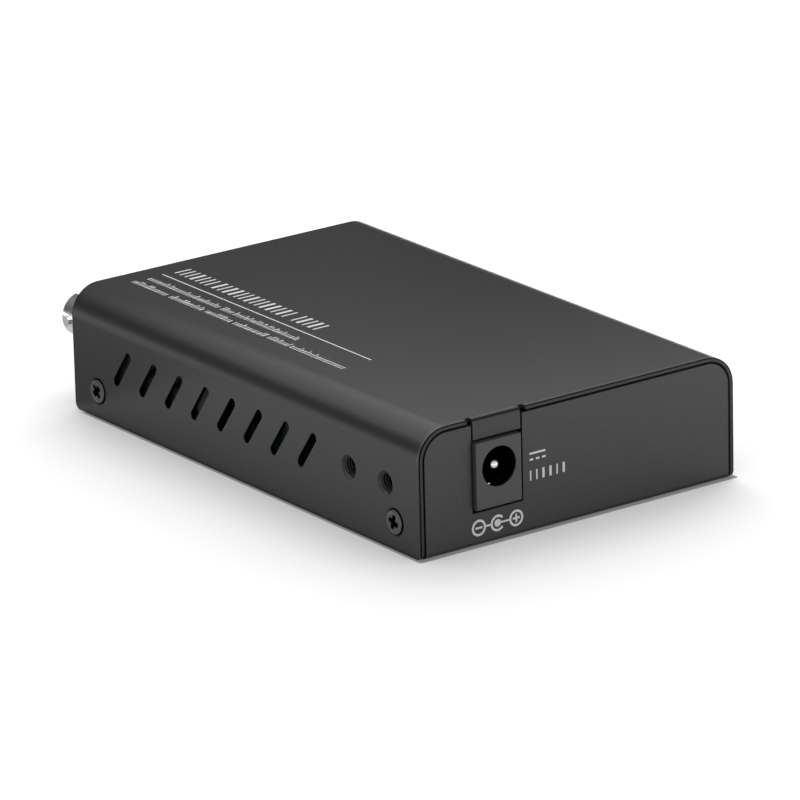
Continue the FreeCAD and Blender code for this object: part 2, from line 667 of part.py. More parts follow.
def circuit_board():
    """Board with fixing holes, lead holes, tab slots and a bay cut for each cover screw."""
    board = block(-board_half, board_half, board_front, board_rear, board_bottom, board_top)
    upright = edges_at(board, lambda c, e: abs(c.z - (board_bottom + board_top) / 2) < 0.01)
    board = board.makeFillet(board_corner, upright)
    span = board_thickness + 2 * OVERCUT
    base = board_bottom - OVERCUT
    cutters = [Part.makeCylinder(board_hole_radius, span, Vector(x, y, base)) for x, y in fixings]
    cutters += [Part.makeCylinder(post_radius + seat_gap, span, Vector(x, post_row, base)) for x in post_xs]
    leads = tuple((x - side / 2, x + side / 2, y - side / 2, y + side / 2) for x, y, side in square_leads())
    for x0, x1, y0, y1 in leads + inlet_tabs() + rj45_tabs():
        cutters.append(block(x0 - seat_gap, x1 + seat_gap, y0 - seat_gap, y1 + seat_gap, base, base + span))
    bay_radius = cover_screw_radius + bay_clearance
    bay_x = side_face - cover_screw_length - bay_clearance + bay_radius
    for y in cover_screw_rows:
        bay = Part.makeCylinder(bay_radius, span, Vector(bay_x, y, base))
        bay = bay.fuse(block(bay_x, board_half + OVERCUT, y - bay_radius, y + bay_radius, base, base + span))
        cutters += [bay, mirrored_x(bay)]
    return board.cut(cutters)


# ---------------------------------------------------------------- DC inlet
def inlet_housing():
    """Moulded inlet: a square front block, an arched barrel behind it, bored, with a spring slot."""
    half = inlet_width / 2
    top = board_top + inlet_height
    block_back = inlet_face - inlet_block_length
    back = inlet_face - inlet_length
    front_block = block(inlet_x - half, inlet_x + half, block_back, inlet_face, board_top, top)
    face_edges = edges_at(front_block, lambda c, e: abs(c.y - inlet_face) < 0.01)
    front_block = front_block.makeFillet(inlet_edge, face_edges)
    arch_radius = inlet_bore_radius + inlet_wall
    arch = Part.makeCylinder(arch_radius, inlet_length - inlet_block_length, Vector(inlet_x, back, inlet_axis),
                             Y_AXIS)
    foot = block(inlet_x - arch_radius, inlet_x + arch_radius, back, block_back, board_top, inlet_axis)
    bore = Part.makeCylinder(inlet_bore_radius, inlet_bore_depth + OVERCUT,
                             Vector(inlet_x, inlet_face - inlet_bore_depth, inlet_axis), Y_AXIS)
    tabs = inlet_tabs()
    root = rod(inlet_pin_radius, Vector(inlet_x, tabs[0][2], inlet_axis),
               Vector(inlet_x, inlet_face, inlet_axis))
    slot = inlet_tab_width / 2 + seat_gap
    rear_slot = block(inlet_x - slot, inlet_x + slot, back - OVERCUT, tabs[0][3] + seat_gap,
                      board_top - OVERCUT, inlet_axis + slot)
    spring_slot = block(inlet_x - slot, inlet_x + slot, tabs[1][2], inlet_face - inlet_lip,
                        board_top - OVERCUT, inlet_axis)
    return fused([front_block, arch, foot]).cut([bore, root, rear_slot, spring_slot])


def inlet_centre_pin():
    """Round-nosed centre pin riveted to its solder tab."""
    tip = inlet_face - inlet_pin_setback
    x0, x1, y0, y1 = inlet_tabs()[0]
    nose = Part.makeSphere(inlet_pin_radius, Vector(inlet_x, tip - inlet_pin_radius, inlet_axis))
    shaft = rod(inlet_pin_radius, Vector(inlet_x, y1, inlet_axis),
                Vector(inlet_x, tip - inlet_pin_radius, inlet_axis))
    tab = block(x0, x1, y0, y1, board_bottom - lead_stub, inlet_axis + inlet_tab_width / 2)
    return fused([nose, shaft, tab])


def inlet_spring():
    """Bowed leaf that grips the plug's barrel from below, with its solder tab."""
    x0, x1, y0, y1 = inlet_tabs()[1]
    floor = inlet_axis - inlet_bore_radius - inlet_leaf
    row = (y0 + y1) / 2
    end = inlet_face - inlet_lip - 2 * inlet_leaf
    path = [(row, board_bottom - lead_stub), (row, floor), ((row + end) / 2, floor + inlet_spring_bow),
            (end, floor)]
    return ribbon(path, inlet_leaf, inlet_x, x1 - x0)


# ---------------------------------------------------------------- RJ45 socket
def rj45_tabs():
    """Shell solder tabs as boxes (x0, x1, y0, y1), in plan."""
    outer = rj45_width / 2
    y0, y1 = rj45_face + rj45_tab_start, rj45_face + rj45_tab_start + rj45_tab_length
    return ((rj45_x - outer, rj45_x - outer + rj45_shell, y0, y1),
            (rj45_x + outer - rj45_shell, rj45_x + outer, y0, y1))


def rj45_shield():
    """Folded shell of the socket, open below, with the face turned in round the mouth."""
    half = rj45_width / 2
    top = board_top + rj45_height
    shell = block(rj45_x - half, rj45_x + half, rj45_face, rj45_back, board_top, top)
    folds = edges_at(shell, lambda c, e: abs(abs(c.x - rj45_x) - half) < 0.01 and abs(c.z - top) < 0.01)
    shell = shell.makeFillet(rj45_fold, folds)
    room = block(rj45_x - half + rj45_shell, rj45_x + half - rj45_shell, rj45_face + rj45_shell,
                 rj45_back - rj45_shell, board_top - OVERCUT, top - rj45_shell)
    mouth_half = rj45_mouth_width / 2 + rj45_mouth_margin
    mouth = block(rj45_x - mouth_half, rj45_x + mouth_half, rj45_face - OVERCUT, rj45_face + OVERCUT,
                  board_top - OVERCUT, board_top + rj45_mouth_sill + rj45_mouth_height + rj45_mouth_margin)
    shell = shell.cut([room, mouth])
    windows, fingers = [], []
    window_start = rj45_face + rj45_window_start
    window_end = window_start + rj45_window_length
    finger_half = rj45_window_height / 2 - rj45_finger_gap
    for side in (-1, 1):
        wall = rj45_x + side * (half - rj45_shell / 2)
        for share in rj45_window_rows:
            z = board_top + rj45_height * share
            windows.append(block(wall - rj45_shell, wall + rj45_shell, window_start, window_end,
                                 z - rj45_window_height / 2, z + rj45_window_height / 2))
            leaf = block(-rj45_shell / 2, rj45_shell / 2, 2 * rj45_shell - rj45_window_length, rj45_shell,
                         -finger_half, finger_half)
            leaf.rotate(Vector(0, 0, 0), Z_AXIS, side * rj45_finger_tilt)
            fingers.append(leaf.translated(Vector(wall, window_end, z)))
    shell = shell.cut(windows)
    tabs = [block(x0, x1, y0, y1, board_bottom - lead_stub, board_top + OVERCUT)
            for x0, x1, y0, y1 in rj45_tabs()]
    return fused([shell] + fingers + tabs)


def rj45_insert():
    """Moulded insert with the stepped mouth for plug and latch, open above for the wires."""
    half = rj45_width / 2 - rj45_shell - rj45_insert_side_gap
    front = rj45_face + rj45_shell
    back = rj45_face + rj45_insert_length
    top = board_top + rj45_height - rj45_shell - rj45_insert_drop
    body = block(rj45_x - half, rj45_x + half, front, back, board_top, top)
    mouth_low = board_top + rj45_mouth_sill
    deep = rj45_face + rj45_mouth_depth
    cutters = [block(rj45_x - rj45_mouth_width / 2, rj45_x + rj45_mouth_width / 2, front - OVERCUT, deep,
                     mouth_low, mouth_low + rj45_mouth_height)]
    for width, step in zip(rj45_latch_widths, rj45_latch_steps):
        cutters.append(block(rj45_x - width / 2, rj45_x + width / 2, front - OVERCUT, deep,
                             mouth_low - step, mouth_low + OVERCUT))
    comb = rj45_wire_count * rj45_wire_pitch / 2 + rj45_comb_margin
    cutters.append(block(rj45_x - comb, rj45_x + comb, front + rj45_comb_start, deep,
                         mouth_low + rj45_mouth_height / 2, top + OVERCUT))
    return body.cut(cutters)


def rj45_contacts():
    """Eight spring wires: up behind the insert, forward over it and back down into the mouth."""
    over = board_top + rj45_height - rj45_shell - rj45_insert_drop + rj45_wire / 2
    bend = rj45_face + rj45_shell + rj45_wire_start
    back, down = rj45_wire_knee
    path = [(rj45_wire_row, board_bottom - lead_stub), (rj45_wire_row, over), (bend, over),
            (bend + back, over - down), (bend + rj45_wire_reach, over - rj45_wire_drop)]
    return group([ribbon(path, rj45_wire, x, rj45_wire) for x in rj45_wire_xs])


# ---------------------------------------------------------------- fibre transceiver
def fibre_housing():
    """Moulded transceiver body: a taller nose round the barrels, a bevelled deck, side flutes."""
    half = fibre_width / 2
    top = board_top + fibre_height
    body = block(fibre_x - half, fibre_x + half, fibre_front, fibre_back, board_top, top)
    upright = edges_at(body, lambda c, e: abs(c.y - fibre_back) < 0.01 and abs(c.z - top) > 0.01
                       and abs(c.z - board_top) > 0.01)
    body = body.makeChamfer(fibre_corner, upright)
    step = top - shield_thickness
    nose_back = fibre_front + shield_front_setback - shield_seat_gap
    seat = block(fibre_x - half + shield_thickness, fibre_x + half - shield_thickness, fibre_front,
                 fibre_back + OVERCUT, board_top - OVERCUT, step)
    room = block(fibre_x - half - OVERCUT, fibre_x + half + OVERCUT, nose_back, fibre_back + OVERCUT,
                 top - shield_skirt - shield_seat_gap, top + OVERCUT)
    cutters = [room.cut(seat)]
    for x in barrel_xs:
        cutters.append(Part.makeCylinder(barrel_flange_radius, barrel_flange_length + OVERCUT,
                                         Vector(x, fibre_front - OVERCUT, fibre_axis), Y_AXIS))
        cutters.append(Part.makeCylinder(sleeve_radius, sleeve_root, Vector(x, fibre_front, fibre_axis), Y_AXIS))
    return body.cut(cutters)


def fibre_shield():
    """Thin metal cap over the rear of the transceiver, with skirts down both sides."""
    half = fibre_width / 2
    top = board_top + fibre_height
    y0, y1 = fibre_front + shield_front_setback, fibre_back - shield_rear_setback
    cap = block(fibre_x - half, fibre_x + half, y0, y1, top - shield_skirt, top)
    room = block(fibre_x - half + shield_thickness, fibre_x + half - shield_thickness, y0 - OVERCUT,
                 y1 + OVERCUT, top - shield_skirt - OVERCUT, top - shield_thickness)
    folds = edges_at(cap, lambda c, e: abs(abs(c.x - fibre_x) - half) < 0.01 and abs(c.z - top) < 0.01)
    cap = cap.makeFillet(shield_fold, folds)
    return cap.cut(room)


def barrel(x):
    """One turned bayonet barrel: flange, cup, key slot at the top and a lug on each side."""
    rim = barrel_rim
    root = fibre_front + barrel_flange_length
    tube = rod(barrel_radius, Vector(x, rim, fibre_axis), Vector(x, root, fibre_axis))
    rims = edges_at(tube, lambda c, e: abs(c.y - rim) < 0.01)
    tube = tube.makeChamfer(barrel_chamfer, rims)
    flange = rod(barrel_flange_radius, Vector(x, fibre_front, fibre_axis), Vector(x, root, fibre_axis))
    reach = barrel_radius + lug_height
    lugs = rod(lug_radius, Vector(x - reach, rim + lug_setback, fibre_axis),
               Vector(x + reach, rim + lug_setback, fibre_axis))
    cup = rod(barrel_cup_radius, Vector(x, rim - OVERCUT, fibre_axis),
              Vector(x, rim + barrel_cup_depth, fibre_axis))
    sleeve_seat = rod(sleeve_radius, Vector(x, rim, fibre_axis), Vector(x, root + OVERCUT, fibre_axis))
    key = block(x - key_slot_width / 2, x + key_slot_width / 2, rim - OVERCUT, rim + key_slot_length,
                fibre_axis, fibre_axis + barrel_radius + OVERCUT)
    return fused([tube, flange, lugs]).cut([cup, sleeve_seat, key])


def ferrule_sleeve(x):
    """Sleeve that lines up the plug's ferrule, closed at its inner end by the optic's window."""
    mouth = barrel_rim + sleeve_setback
    end = fibre_front + sleeve_root
    outer = rod(sleeve_radius, Vector(x, mouth, fibre_axis), Vector(x, end, fibre_axis))
    lip = edges_at(outer, lambda c, e: abs(c.y - mouth) < 0.01)
    outer = outer.makeChamfer(sleeve_chamfer, lip)
    return outer.cut(rod(ferrule_bore_radius, Vector(x, mouth - OVERCUT, fibre_axis),
                         Vector(x, end - sleeve_floor, fibre_axis)))


def fibre_pins():
    """Nine signal pins in a row and two mounting posts under the transceiver."""
    pins = [square_lead(x, pin_row, pin_side, board_top) for x in pin_xs]
    posts = [rod(post_radius, Vector(x, post_row, board_bottom - lead_stub), Vector(x, post_row, board_top))
             for x in post_xs]
    return group(pins + posts)


# ---------------------------------------------------------------- lamps
def lamp_holder():
    """Black block that carries the four lamps, bored for them from the front."""
    half = lamp_block_width / 2
    front, back = lamp_block_front, lamp_block_front + lamp_block_length
    body = block(lamp_x - half, lamp_x + half, front, back, board_top, board_top + lamp_block_height)
    top = board_top + lamp_block_height
    slope = edges_at(body, lambda c, e: abs(c.y - back) < 0.01 and abs(c.z - top) < 0.01)
    body = body.makeChamfer(lamp_block_slope, slope)
    return body.cut([Part.makeCylinder(lamp_radius, lamp_bore_depth + OVERCUT, Vector(x, front - OVERCUT, z),
                                       Y_AXIS) for x in lamp_xs for z in lamp_zs])


def status_lamps():
    """Four 3 mm lamps with bevelled noses that look through the front panel."""
    lamps = []
    for x in lamp_xs:
        for z in lamp_zs:
            nose = front_face - lamp_proud
            lamp = rod(lamp_radius, Vector(x, nose, z), Vector(x, lamp_block_front + lamp_bore_depth, z))
            lamps.append(lamp.makeChamfer(lamp_nose, edges_at(lamp, lambda c, e: abs(c.y - nose) < 0.01)))
    return group(lamps)


def lamp_leads():
    """Leads of the lamps where they leave the holder and pass the board."""
    return group([square_lead(x, lamp_lead_row, lead_side, board_top) for x in lamp_lead_xs])


# ---------------------------------------------------------------- parts on the board
def converter_chip():
    """Flat-pack converter chip."""
    return chip_body(chip_side, chip_side, chip_height, chip_bevel).translated(
        Vector(chip_x, chip_y, board_top + body_standoff))


def converter_chip_legs():
    """Gull-wing legs on all four sides of the converter chip."""
    legs = gull_legs(chip_side / 2, chip_leg_reach, board_top, board_top + body_standoff + chip_height / 2,
                     chip_legs_per_side, chip_leg_pitch, chip_leg_width)
    quarter = [leg.rotated(Vector(0, 0, 0), Z_AXIS, 90) for leg in legs]
    return group([leg.translated(Vector(chip_x, chip_y, 0)) for leg in legs + quarter])


def line_transformer():
    """Moulded block of isolation transformers behind the RJ45 socket."""
    width, length, height = transformer_size
    return chip_body(width, length, height, transformer_bevel).translated(
        Vector(transformer_x, transformer_y, board_top + body_standoff))


def line_transformer_legs():
    """Gull-wing legs along the transformer's two long sides."""
    legs = gull_legs(transformer_size[0] / 2, transformer_leg_reach, board_top,
                     board_top + transformer_leg_exit, transformer_legs_per_side, transformer_leg_pitch,
                     transformer_leg_width)
    quarter = [leg.rotated(Vector(0, 0, 0), Z_AXIS, 90) for leg in legs]
    return group([leg.translated(Vector(transformer_x, transformer_y, 0)) for leg in quarter])


def regulator_chip():
    """Small switching regulator."""
    width, length, height = regulator_size
    return chip_body(length, width, height, regulator_bevel).translated(
        Vector(regulator_x, regulator_y, board_top + body_standoff))


def regulator_legs():
    """Eight legs of the regulator."""
    legs = gull_legs(regulator_size[0] / 2, regulator_leg_reach, board_top,
                     board_top + body_standoff + regulator_size[2] / 2, regulator_legs_per_side,
                     regulator_leg_pitch, regulator_leg_width)
    return group([leg.translated(Vector(regulator_x, regulator_y, 0)) for leg in legs])


def clock_crystal():
    """Low metal crystal can with round ends on a flanged foot."""
    length, width, height = crystal_size
    offset = length / 2 - width / 2

    def oblong(grow, z0, z1):
        radius = width / 2 + grow
        middle = block(-offset, offset, -radius, radius, z0, z1)
        return fused([middle] + [Part.makeCylinder(radius, z1 - z0, Vector(side * offset, 0, z0))
                                 for side in (-1, 1)])

    can = oblong(0, crystal_foot, height)
    can = can.makeChamfer(crystal_foot, edges_at(can, lambda c, e: abs(c.z - height) < 0.01))
    return fused([can, oblong(crystal_rim, 0, crystal_foot)]).translated(Vector(crystal_x, crystal_y, board_top))


def filter_capacitors():
    """Two upright electrolytic capacitors, each with a crimped neck on a square foot."""
    radius, height = capacitor_radius, capacitor_height
    low, high = capacitor_foot + capacitor_crimp, capacitor_foot + 3 * capacitor_crimp
    can = turned([(0, capacitor_foot), (radius, capacitor_foot), (radius, low),
                  (radius - capacitor_crimp, (low + high) / 2), (radius, high), (radius, height), (0, height)])
    foot = block(-radius, radius, -radius, radius, 0, capacitor_foot)
    front = edges_at(foot, lambda c, e: c.x > radius / 2 and abs(c.z - capacitor_foot / 2) < 0.01)
    whole = fused([can, foot.makeChamfer(capacitor_foot_bevel, front)])
    return group([whole.translated(Vector(x, capacitor_y, board_top)) for x in capacitor_xs])


def power_inductor():
    """Shielded power inductor: an eight-sided ferrite case on two terminals."""
    half = inductor_side / 2
    pad = inductor_terminal
    case = block(-half, half, -half, half, pad, inductor_height)
    upright = edges_at(case, lambda c, e: abs(c.z - (inductor_height + pad) / 2) < 0.01)
    case = case.makeChamfer(inductor_corner, upright)
    pads = [block(side * (half - inductor_pad_width / 2) - inductor_pad_width / 2,
                  side * (half - inductor_pad_width / 2) + inductor_pad_width / 2,
                  -inductor_corner, inductor_corner, 0, pad) for side in (-1, 1)]
    return fused([case] + pads).translated(Vector(inductor_x, inductor_y, board_top))


def capped_part(size, cap):
    """Surface-mount part along X: a body between two slightly larger end caps."""
    length, width, height = size
    body = block(-length / 2 + cap, length / 2 - cap, -width / 2 + cap_step, width / 2 - cap_step, cap_step,
                 height - cap_step)
    caps = [block(side * (length - cap) / 2 - cap / 2, side * (length - cap) / 2 + cap / 2,
                  -width / 2, width / 2, 0, height) for side in (-1, 1)]
    return fused([body] + caps)


def input_fuse():
    """Resettable fuse next to the DC inlet."""
    return capped_part(fuse_size, fuse_cap).translated(Vector(fuse_x, fuse_y, board_top))


def input_diode():
    """Moulded input diode with folded end terminals."""
    return capped_part(diode_size, diode_cap).translated(Vector(diode_x, diode_y, board_top))


def chip_capacitors():
    """Decoupling capacitors in a row on each side of the converter chip."""
    part = capped_part(chip_capacitor_size, chip_capacitor_cap)
    clear = chip_side / 2 + chip_leg_reach + chip_capacitor_gap + chip_capacitor_size[0] / 2
    rows = chip_capacitor_count // 2
    first = chip_y - (rows - 1) / 2 * chip_capacitor_pitch
    return group([part.translated(Vector(chip_x + side * clear, first + i * chip_capacitor_pitch, board_top))
                  for i in range(rows) for side in (-1, 1)])


PIECES = {
    "top_cover": top_cover,
    "bottom_chassis": bottom_chassis,
    "cover_screws": cover_screws,
    "board_pillars": board_pillars,
    "board_screws": board_screws,
    "circuit_board": circuit_board,
    "inlet_housing": inlet_housing,
    "inlet_centre_pin": inlet_centre_pin,
    "inlet_spring": inlet_spring,
    "rj45_shield": rj45_shield,
    "rj45_insert": rj45_insert,
    "rj45_contacts": rj45_contacts,
    "fibre_housing": fibre_housing,
    "fibre_shield": fibre_shield,
    "receive_barrel": lambda: barrel(barrel_xs[0]),
    "transmit_barrel": lambda: barrel(barrel_xs[1]),
    "receive_sleeve": lambda: ferrule_sleeve(barrel_xs[0]),
    "transmit_sleeve": lambda: ferrule_sleeve(barrel_xs[1]),
    "fibre_pins": fibre_pins,
    "lamp_holder": lamp_holder,
    "status_lamps": status_lamps,
    "lamp_leads": lamp_leads,
    "converter_chip": converter_chip,
    "converter_chip_legs": converter_chip_legs,
    "line_transformer": line_transformer,
    "line_transformer_legs": line_transformer_legs,
    "regulator_chip": regulator_chip,
    "regulator_legs": regulator_legs,
    "clock_crystal": clock_crystal,
    "filter_capacitors": filter_capacitors,
    "power_inductor": power_inductor,
    "input_fuse": input_fuse,
    "input_diode": input_diode,
    "chip_capacitors": chip_capacitors,
}


def main():
    """Build every piece and write one STEP file for each."""
    os.makedirs("parts", exist_ok=True)
    for name, build in PIECES.items():
        shape = build()
        solids = shape.Solids
        if not solids or not shape.isValid():
            raise ValueError(f"{name} is not a valid solid")
        result = solids[0] if len(solids) == 1 else Part.makeCompound(solids)
        result.exportStep(f"parts/{name}.step")
        box = result.BoundBox
        print(f"{name}: {len(solids)} solids, {result.Volume:.1f} mm3, "
              f"X {box.XMin:.2f}..{box.XMax:.2f} Y {box.YMin:.2f}..{box.YMax:.2f} "
              f"Z {box.ZMin:.2f}..{box.ZMax:.2f}")
    print(f"case {case_width:.2f} x {case_depth:.2f} x {case_height:.2f} mm")


main()
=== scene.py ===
"""Looks of a fibre media converter: finishes, print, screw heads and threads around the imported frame.

Sizes are in millimetres until they reach Blender, which works in metres. The frame has +Z up, the
power inlet faces +Y and the fibre barrels, the network socket and the lamps face -Y.
"""
import logging
import math
import random
from dataclasses import dataclass, field, replace
from enum import Enum
from functools import partial, reduce
from typing import Sequence

import bmesh
import bpy
from mathutils import Matrix, Vector


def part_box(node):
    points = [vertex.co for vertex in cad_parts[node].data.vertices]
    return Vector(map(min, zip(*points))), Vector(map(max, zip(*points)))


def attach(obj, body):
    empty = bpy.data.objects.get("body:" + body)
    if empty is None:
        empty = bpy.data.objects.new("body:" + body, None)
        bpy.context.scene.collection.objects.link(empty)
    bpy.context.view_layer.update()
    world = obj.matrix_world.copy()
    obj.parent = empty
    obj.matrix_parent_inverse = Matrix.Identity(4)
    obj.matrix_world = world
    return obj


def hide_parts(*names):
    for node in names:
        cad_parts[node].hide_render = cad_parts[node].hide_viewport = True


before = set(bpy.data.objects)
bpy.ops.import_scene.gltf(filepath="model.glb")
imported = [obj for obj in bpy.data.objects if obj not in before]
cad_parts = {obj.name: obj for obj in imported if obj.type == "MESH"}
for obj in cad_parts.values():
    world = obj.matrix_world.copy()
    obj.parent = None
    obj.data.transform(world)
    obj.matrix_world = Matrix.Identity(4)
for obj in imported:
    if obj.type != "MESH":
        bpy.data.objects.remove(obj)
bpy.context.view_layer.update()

MM = 0.001
BODY = "root"
LOG = logging.getLogger("media_converter")

Colour = tuple[float, float, float]
Point2 = tuple[float, float]
Row = tuple[float, float, float, float]
WHITE = (1.0, 1.0, 1.0, 1.0)


class Grain(Enum):
    """How the fine relief of a finish runs."""

    EVEN = (1.0, 1.0, 1.0)
    ALONG_X = (0.06, 1.0, 1.0)
    ALONG_Y = (1.0, 0.06, 1.0)


class Term:
    """One value in a material's nodes. Arithmetic on it adds Math nodes."""

    def __init__(self, tree: bpy.types.NodeTree, socket: bpy.types.NodeSocket) -> None:
        """Wrap a socket.

        Args:
            tree: The nodes it belongs to.
            socket: The output that carries the value.
        """
        self.tree = tree
        self.socket = socket

    def _do(self, operation: str, *values: "Term | float") -> "Term":
        """Apply one operation of the Math node.

        Args:
            operation: The node's operation.
            values: Its inputs.

        Returns:
            The result.
        """
        node = self.tree.nodes.new("ShaderNodeMath")
        node.operation = operation
        for entry, value in zip(node.inputs, values):
            if isinstance(value, Term):
                self.tree.links.new(value.socket, entry)
            else:
                entry.default_value = value
        return Term(self.tree, node.outputs["Value"])

    def __add__(self, other: "Term | float") -> "Term":
        """Sum of two values."""
        return self._do("ADD", self, other)

    def __sub__(self, other: "Term | float") -> "Term":
        """This value less another."""
        return self._do("SUBTRACT", self, other)

    def __rsub__(self, other: float) -> "Term":
        """A number less this value."""
        return self._do("SUBTRACT", other, self)

    def __mul__(self, other: "Term | float") -> "Term":
        """Product of two values."""
        return self._do("MULTIPLY", self, other)

    def __abs__(self) -> "Term":
        """This value without its sign."""
        return self._do("ABSOLUTE", self)

    def most(self, other: "Term | float") -> "Term":
        """Greater of two values."""
        return self._do("MAXIMUM", self, other)

    def least(self, *others: "Term | float") -> "Term":
        """Smallest of several values."""
        return reduce(partial(self._do, "MINIMUM"), others, self)

    def away(self, other: "Term") -> "Term":
        """Length of the diagonal over two values at right angles."""
        return self._do("SQRT", self._do("POWER", self, 2.0) + self._do("POWER", other, 2.0))


class Place:
    """The point's place in a material, in millimetres."""

    def __init__(self, tree: bpy.types.NodeTree) -> None:
        """Read the place in object space.

        Args:
            tree: The material's nodes.
        """
        self.tree = tree
        place, split = tree.nodes.new("ShaderNodeTexCoord"), tree.nodes.new("ShaderNodeSeparateXYZ")
        scale = tree.nodes.new("ShaderNodeVectorMath")
        scale.operation = "SCALE"
        scale.inputs["Scale"].default_value = 1 / MM
        tree.links.new(place.outputs["Object"], scale.inputs[0])
        tree.links.new(scale.outputs["Vector"], split.inputs["Vector"])
        self.x, self.y, self.z = (Term(tree, split.outputs[axis]) for axis in "XYZ")


@dataclass(frozen=True)
class Zone:
    """Part of a surface with a tone painted over its finish, given by how deep a point lies inside it. The zones
    here paint shade and light: dark where shade falls, lighter where light catches.

    metal is its metallic share: at 1 a dark tone has no gloss left either. soft is the width of its edge.
    """

    tone: Colour
    metal: float
    soft: float

    def depth(self, place: Place) -> Term:
        """Distance inside the zone, in millimetres and negative outside.

        Args:
            place: The point's place.

        Returns:
            The distance.
        """
        raise NotImplementedError

    def lay(self, place: Place, colour: bpy.types.NodeSocket,
            metal: bpy.types.NodeSocket) -> tuple[bpy.types.NodeSocket, bpy.types.NodeSocket]:
        """Lay the zone's tone and metallic share over those of the surface.

        Args:
            place: The point's place.
            colour: The colour so far.
            metal: The metallic share so far.

        Returns:
            The new colour and metallic share.
        """
        edge = place.tree.nodes.new("ShaderNodeMapRange")
        edge.interpolation_type = "SMOOTHSTEP"
        edge.inputs["From Min"].default_value = -self.soft / 2
        edge.inputs["From Max"].default_value = self.soft / 2
        place.tree.links.new(self.depth(place).socket, edge.inputs["Value"])
        laid = []
        for kind, old, new in (("RGBA", colour, (*self.tone, 1.0)), ("FLOAT", metal, self.metal)):
            mix = place.tree.nodes.new("ShaderNodeMix")
            mix.data_type = kind
            first, second = [socket for socket in mix.inputs if socket.enabled and socket.name in "AB"]
            second.default_value = new
            place.tree.links.new(edge.outputs["Result"], mix.inputs["Factor"])
            place.tree.links.new(old, first)
            laid.append(next(socket for socket in mix.outputs if socket.enabled))
        return laid[0], laid[1]


@dataclass(frozen=True)
class WallZone(Zone):
    """Walls of the vents in both sides of the cover, below the bend and behind the outer face."""

    outer: float
    top: float
    middle: float
    half: float

    def depth(self, place: Place) -> Term:
        """Distance inside the zone."""
        return (self.outer - abs(place.x)).least(self.top - place.z, self.half - abs(place.y - self.middle))


@dataclass(frozen=True)
class Arch:
    """Outline of an end face: upright sides, a level top and two round corners."""

    half: float
    top: float
    corner: float


class Stretch(Enum):
    """Part of the rear edge that a band covers."""

    WHOLE = "whole"
    BESIDE_FLAP = "beside the flap"
    ON_FLAP = "on the flap"


@dataclass(frozen=True)
class RimZone(Zone):
    """Band along the arched outline of the end faces, from near to far inside it and outwards from end along Y.

    A band of the rear alone stops at stop along Y, and fades out down to low.
    """

    arch: Arch
    near: float
    far: float
    end: float
    stop: float = 0.0
    low: float = 0.0
    rear_only: bool = False
    stretch: Stretch = Stretch.WHOLE
    fade: float = 0.08

    def depth(self, place: Place) -> Term:
        """Distance inside the zone.

        Args:
            place: The point's place.

        Returns:
            The distance.
        """
        across = abs(place.x) - (self.arch.half - self.arch.corner)
        up = place.z - (self.arch.top - self.arch.corner)
        inset = self.arch.corner - (across.most(0.0).away(up.most(0.0)) + across.most(up).least(0.0))
        along = place.y if self.rear_only else abs(place.y)
        result = (inset - self.near).least(self.far - inset, along - self.end)
        if self.rear_only:
            result = result.least(self.stop - along, (place.z - self.low) * self.fade)
        if self.stretch is not Stretch.WHOLE:
            beyond = abs(place.x - INLET_X) - FLAP_HALF
            beside = beyond.most(place.y * -1.0)
            result = result.least(beside if self.stretch is Stretch.BESIDE_FLAP else beyond * -1.0)
        return result


class Axis(Enum):
    """Axis that a round zone lies about: the inlet's along Y, or each cover screw's along X."""

    INLET = "inlet"
    SCREWS = "screws"


@dataclass(frozen=True)
class RoundZone(Zone):
    """What lies inside of a radius about an axis, or outside of it, as far out as a level."""

    axis: Axis
    centre: Point2
    radius: float
    level: float
    outside: bool = False

    def depth(self, place: Place) -> Term:
        """Distance inside the zone.

        Args:
            place: The point's place.

        Returns:
            The distance.
        """
        across, along = (place.x, place.y) if self.axis is Axis.INLET else (abs(place.y), abs(place.x))
        inward = self.radius - (across - self.centre[0]).away(place.z - self.centre[1])
        if self.outside:
            inward = inward * -1.0
        return inward.least(self.level - along)


@dataclass(frozen=True)
class ContactShadowZone(Zone):
    """Narrow band of painted contact shadow on the floor, round the foot of the case, fading out towards its front.
    """

    half_x: float
    half_y: float
    reach: float
    front: float = 2.5
    fade: float = 0.2

    def depth(self, place: Place) -> Term:
        """Distance inside the zone."""
        outside = (abs(place.x) - self.half_x).most(0.0).away((abs(place.y) - self.half_y).most(0.0))
        return (self.reach - outside).least((place.y + (self.half_y - self.front)) * self.fade)


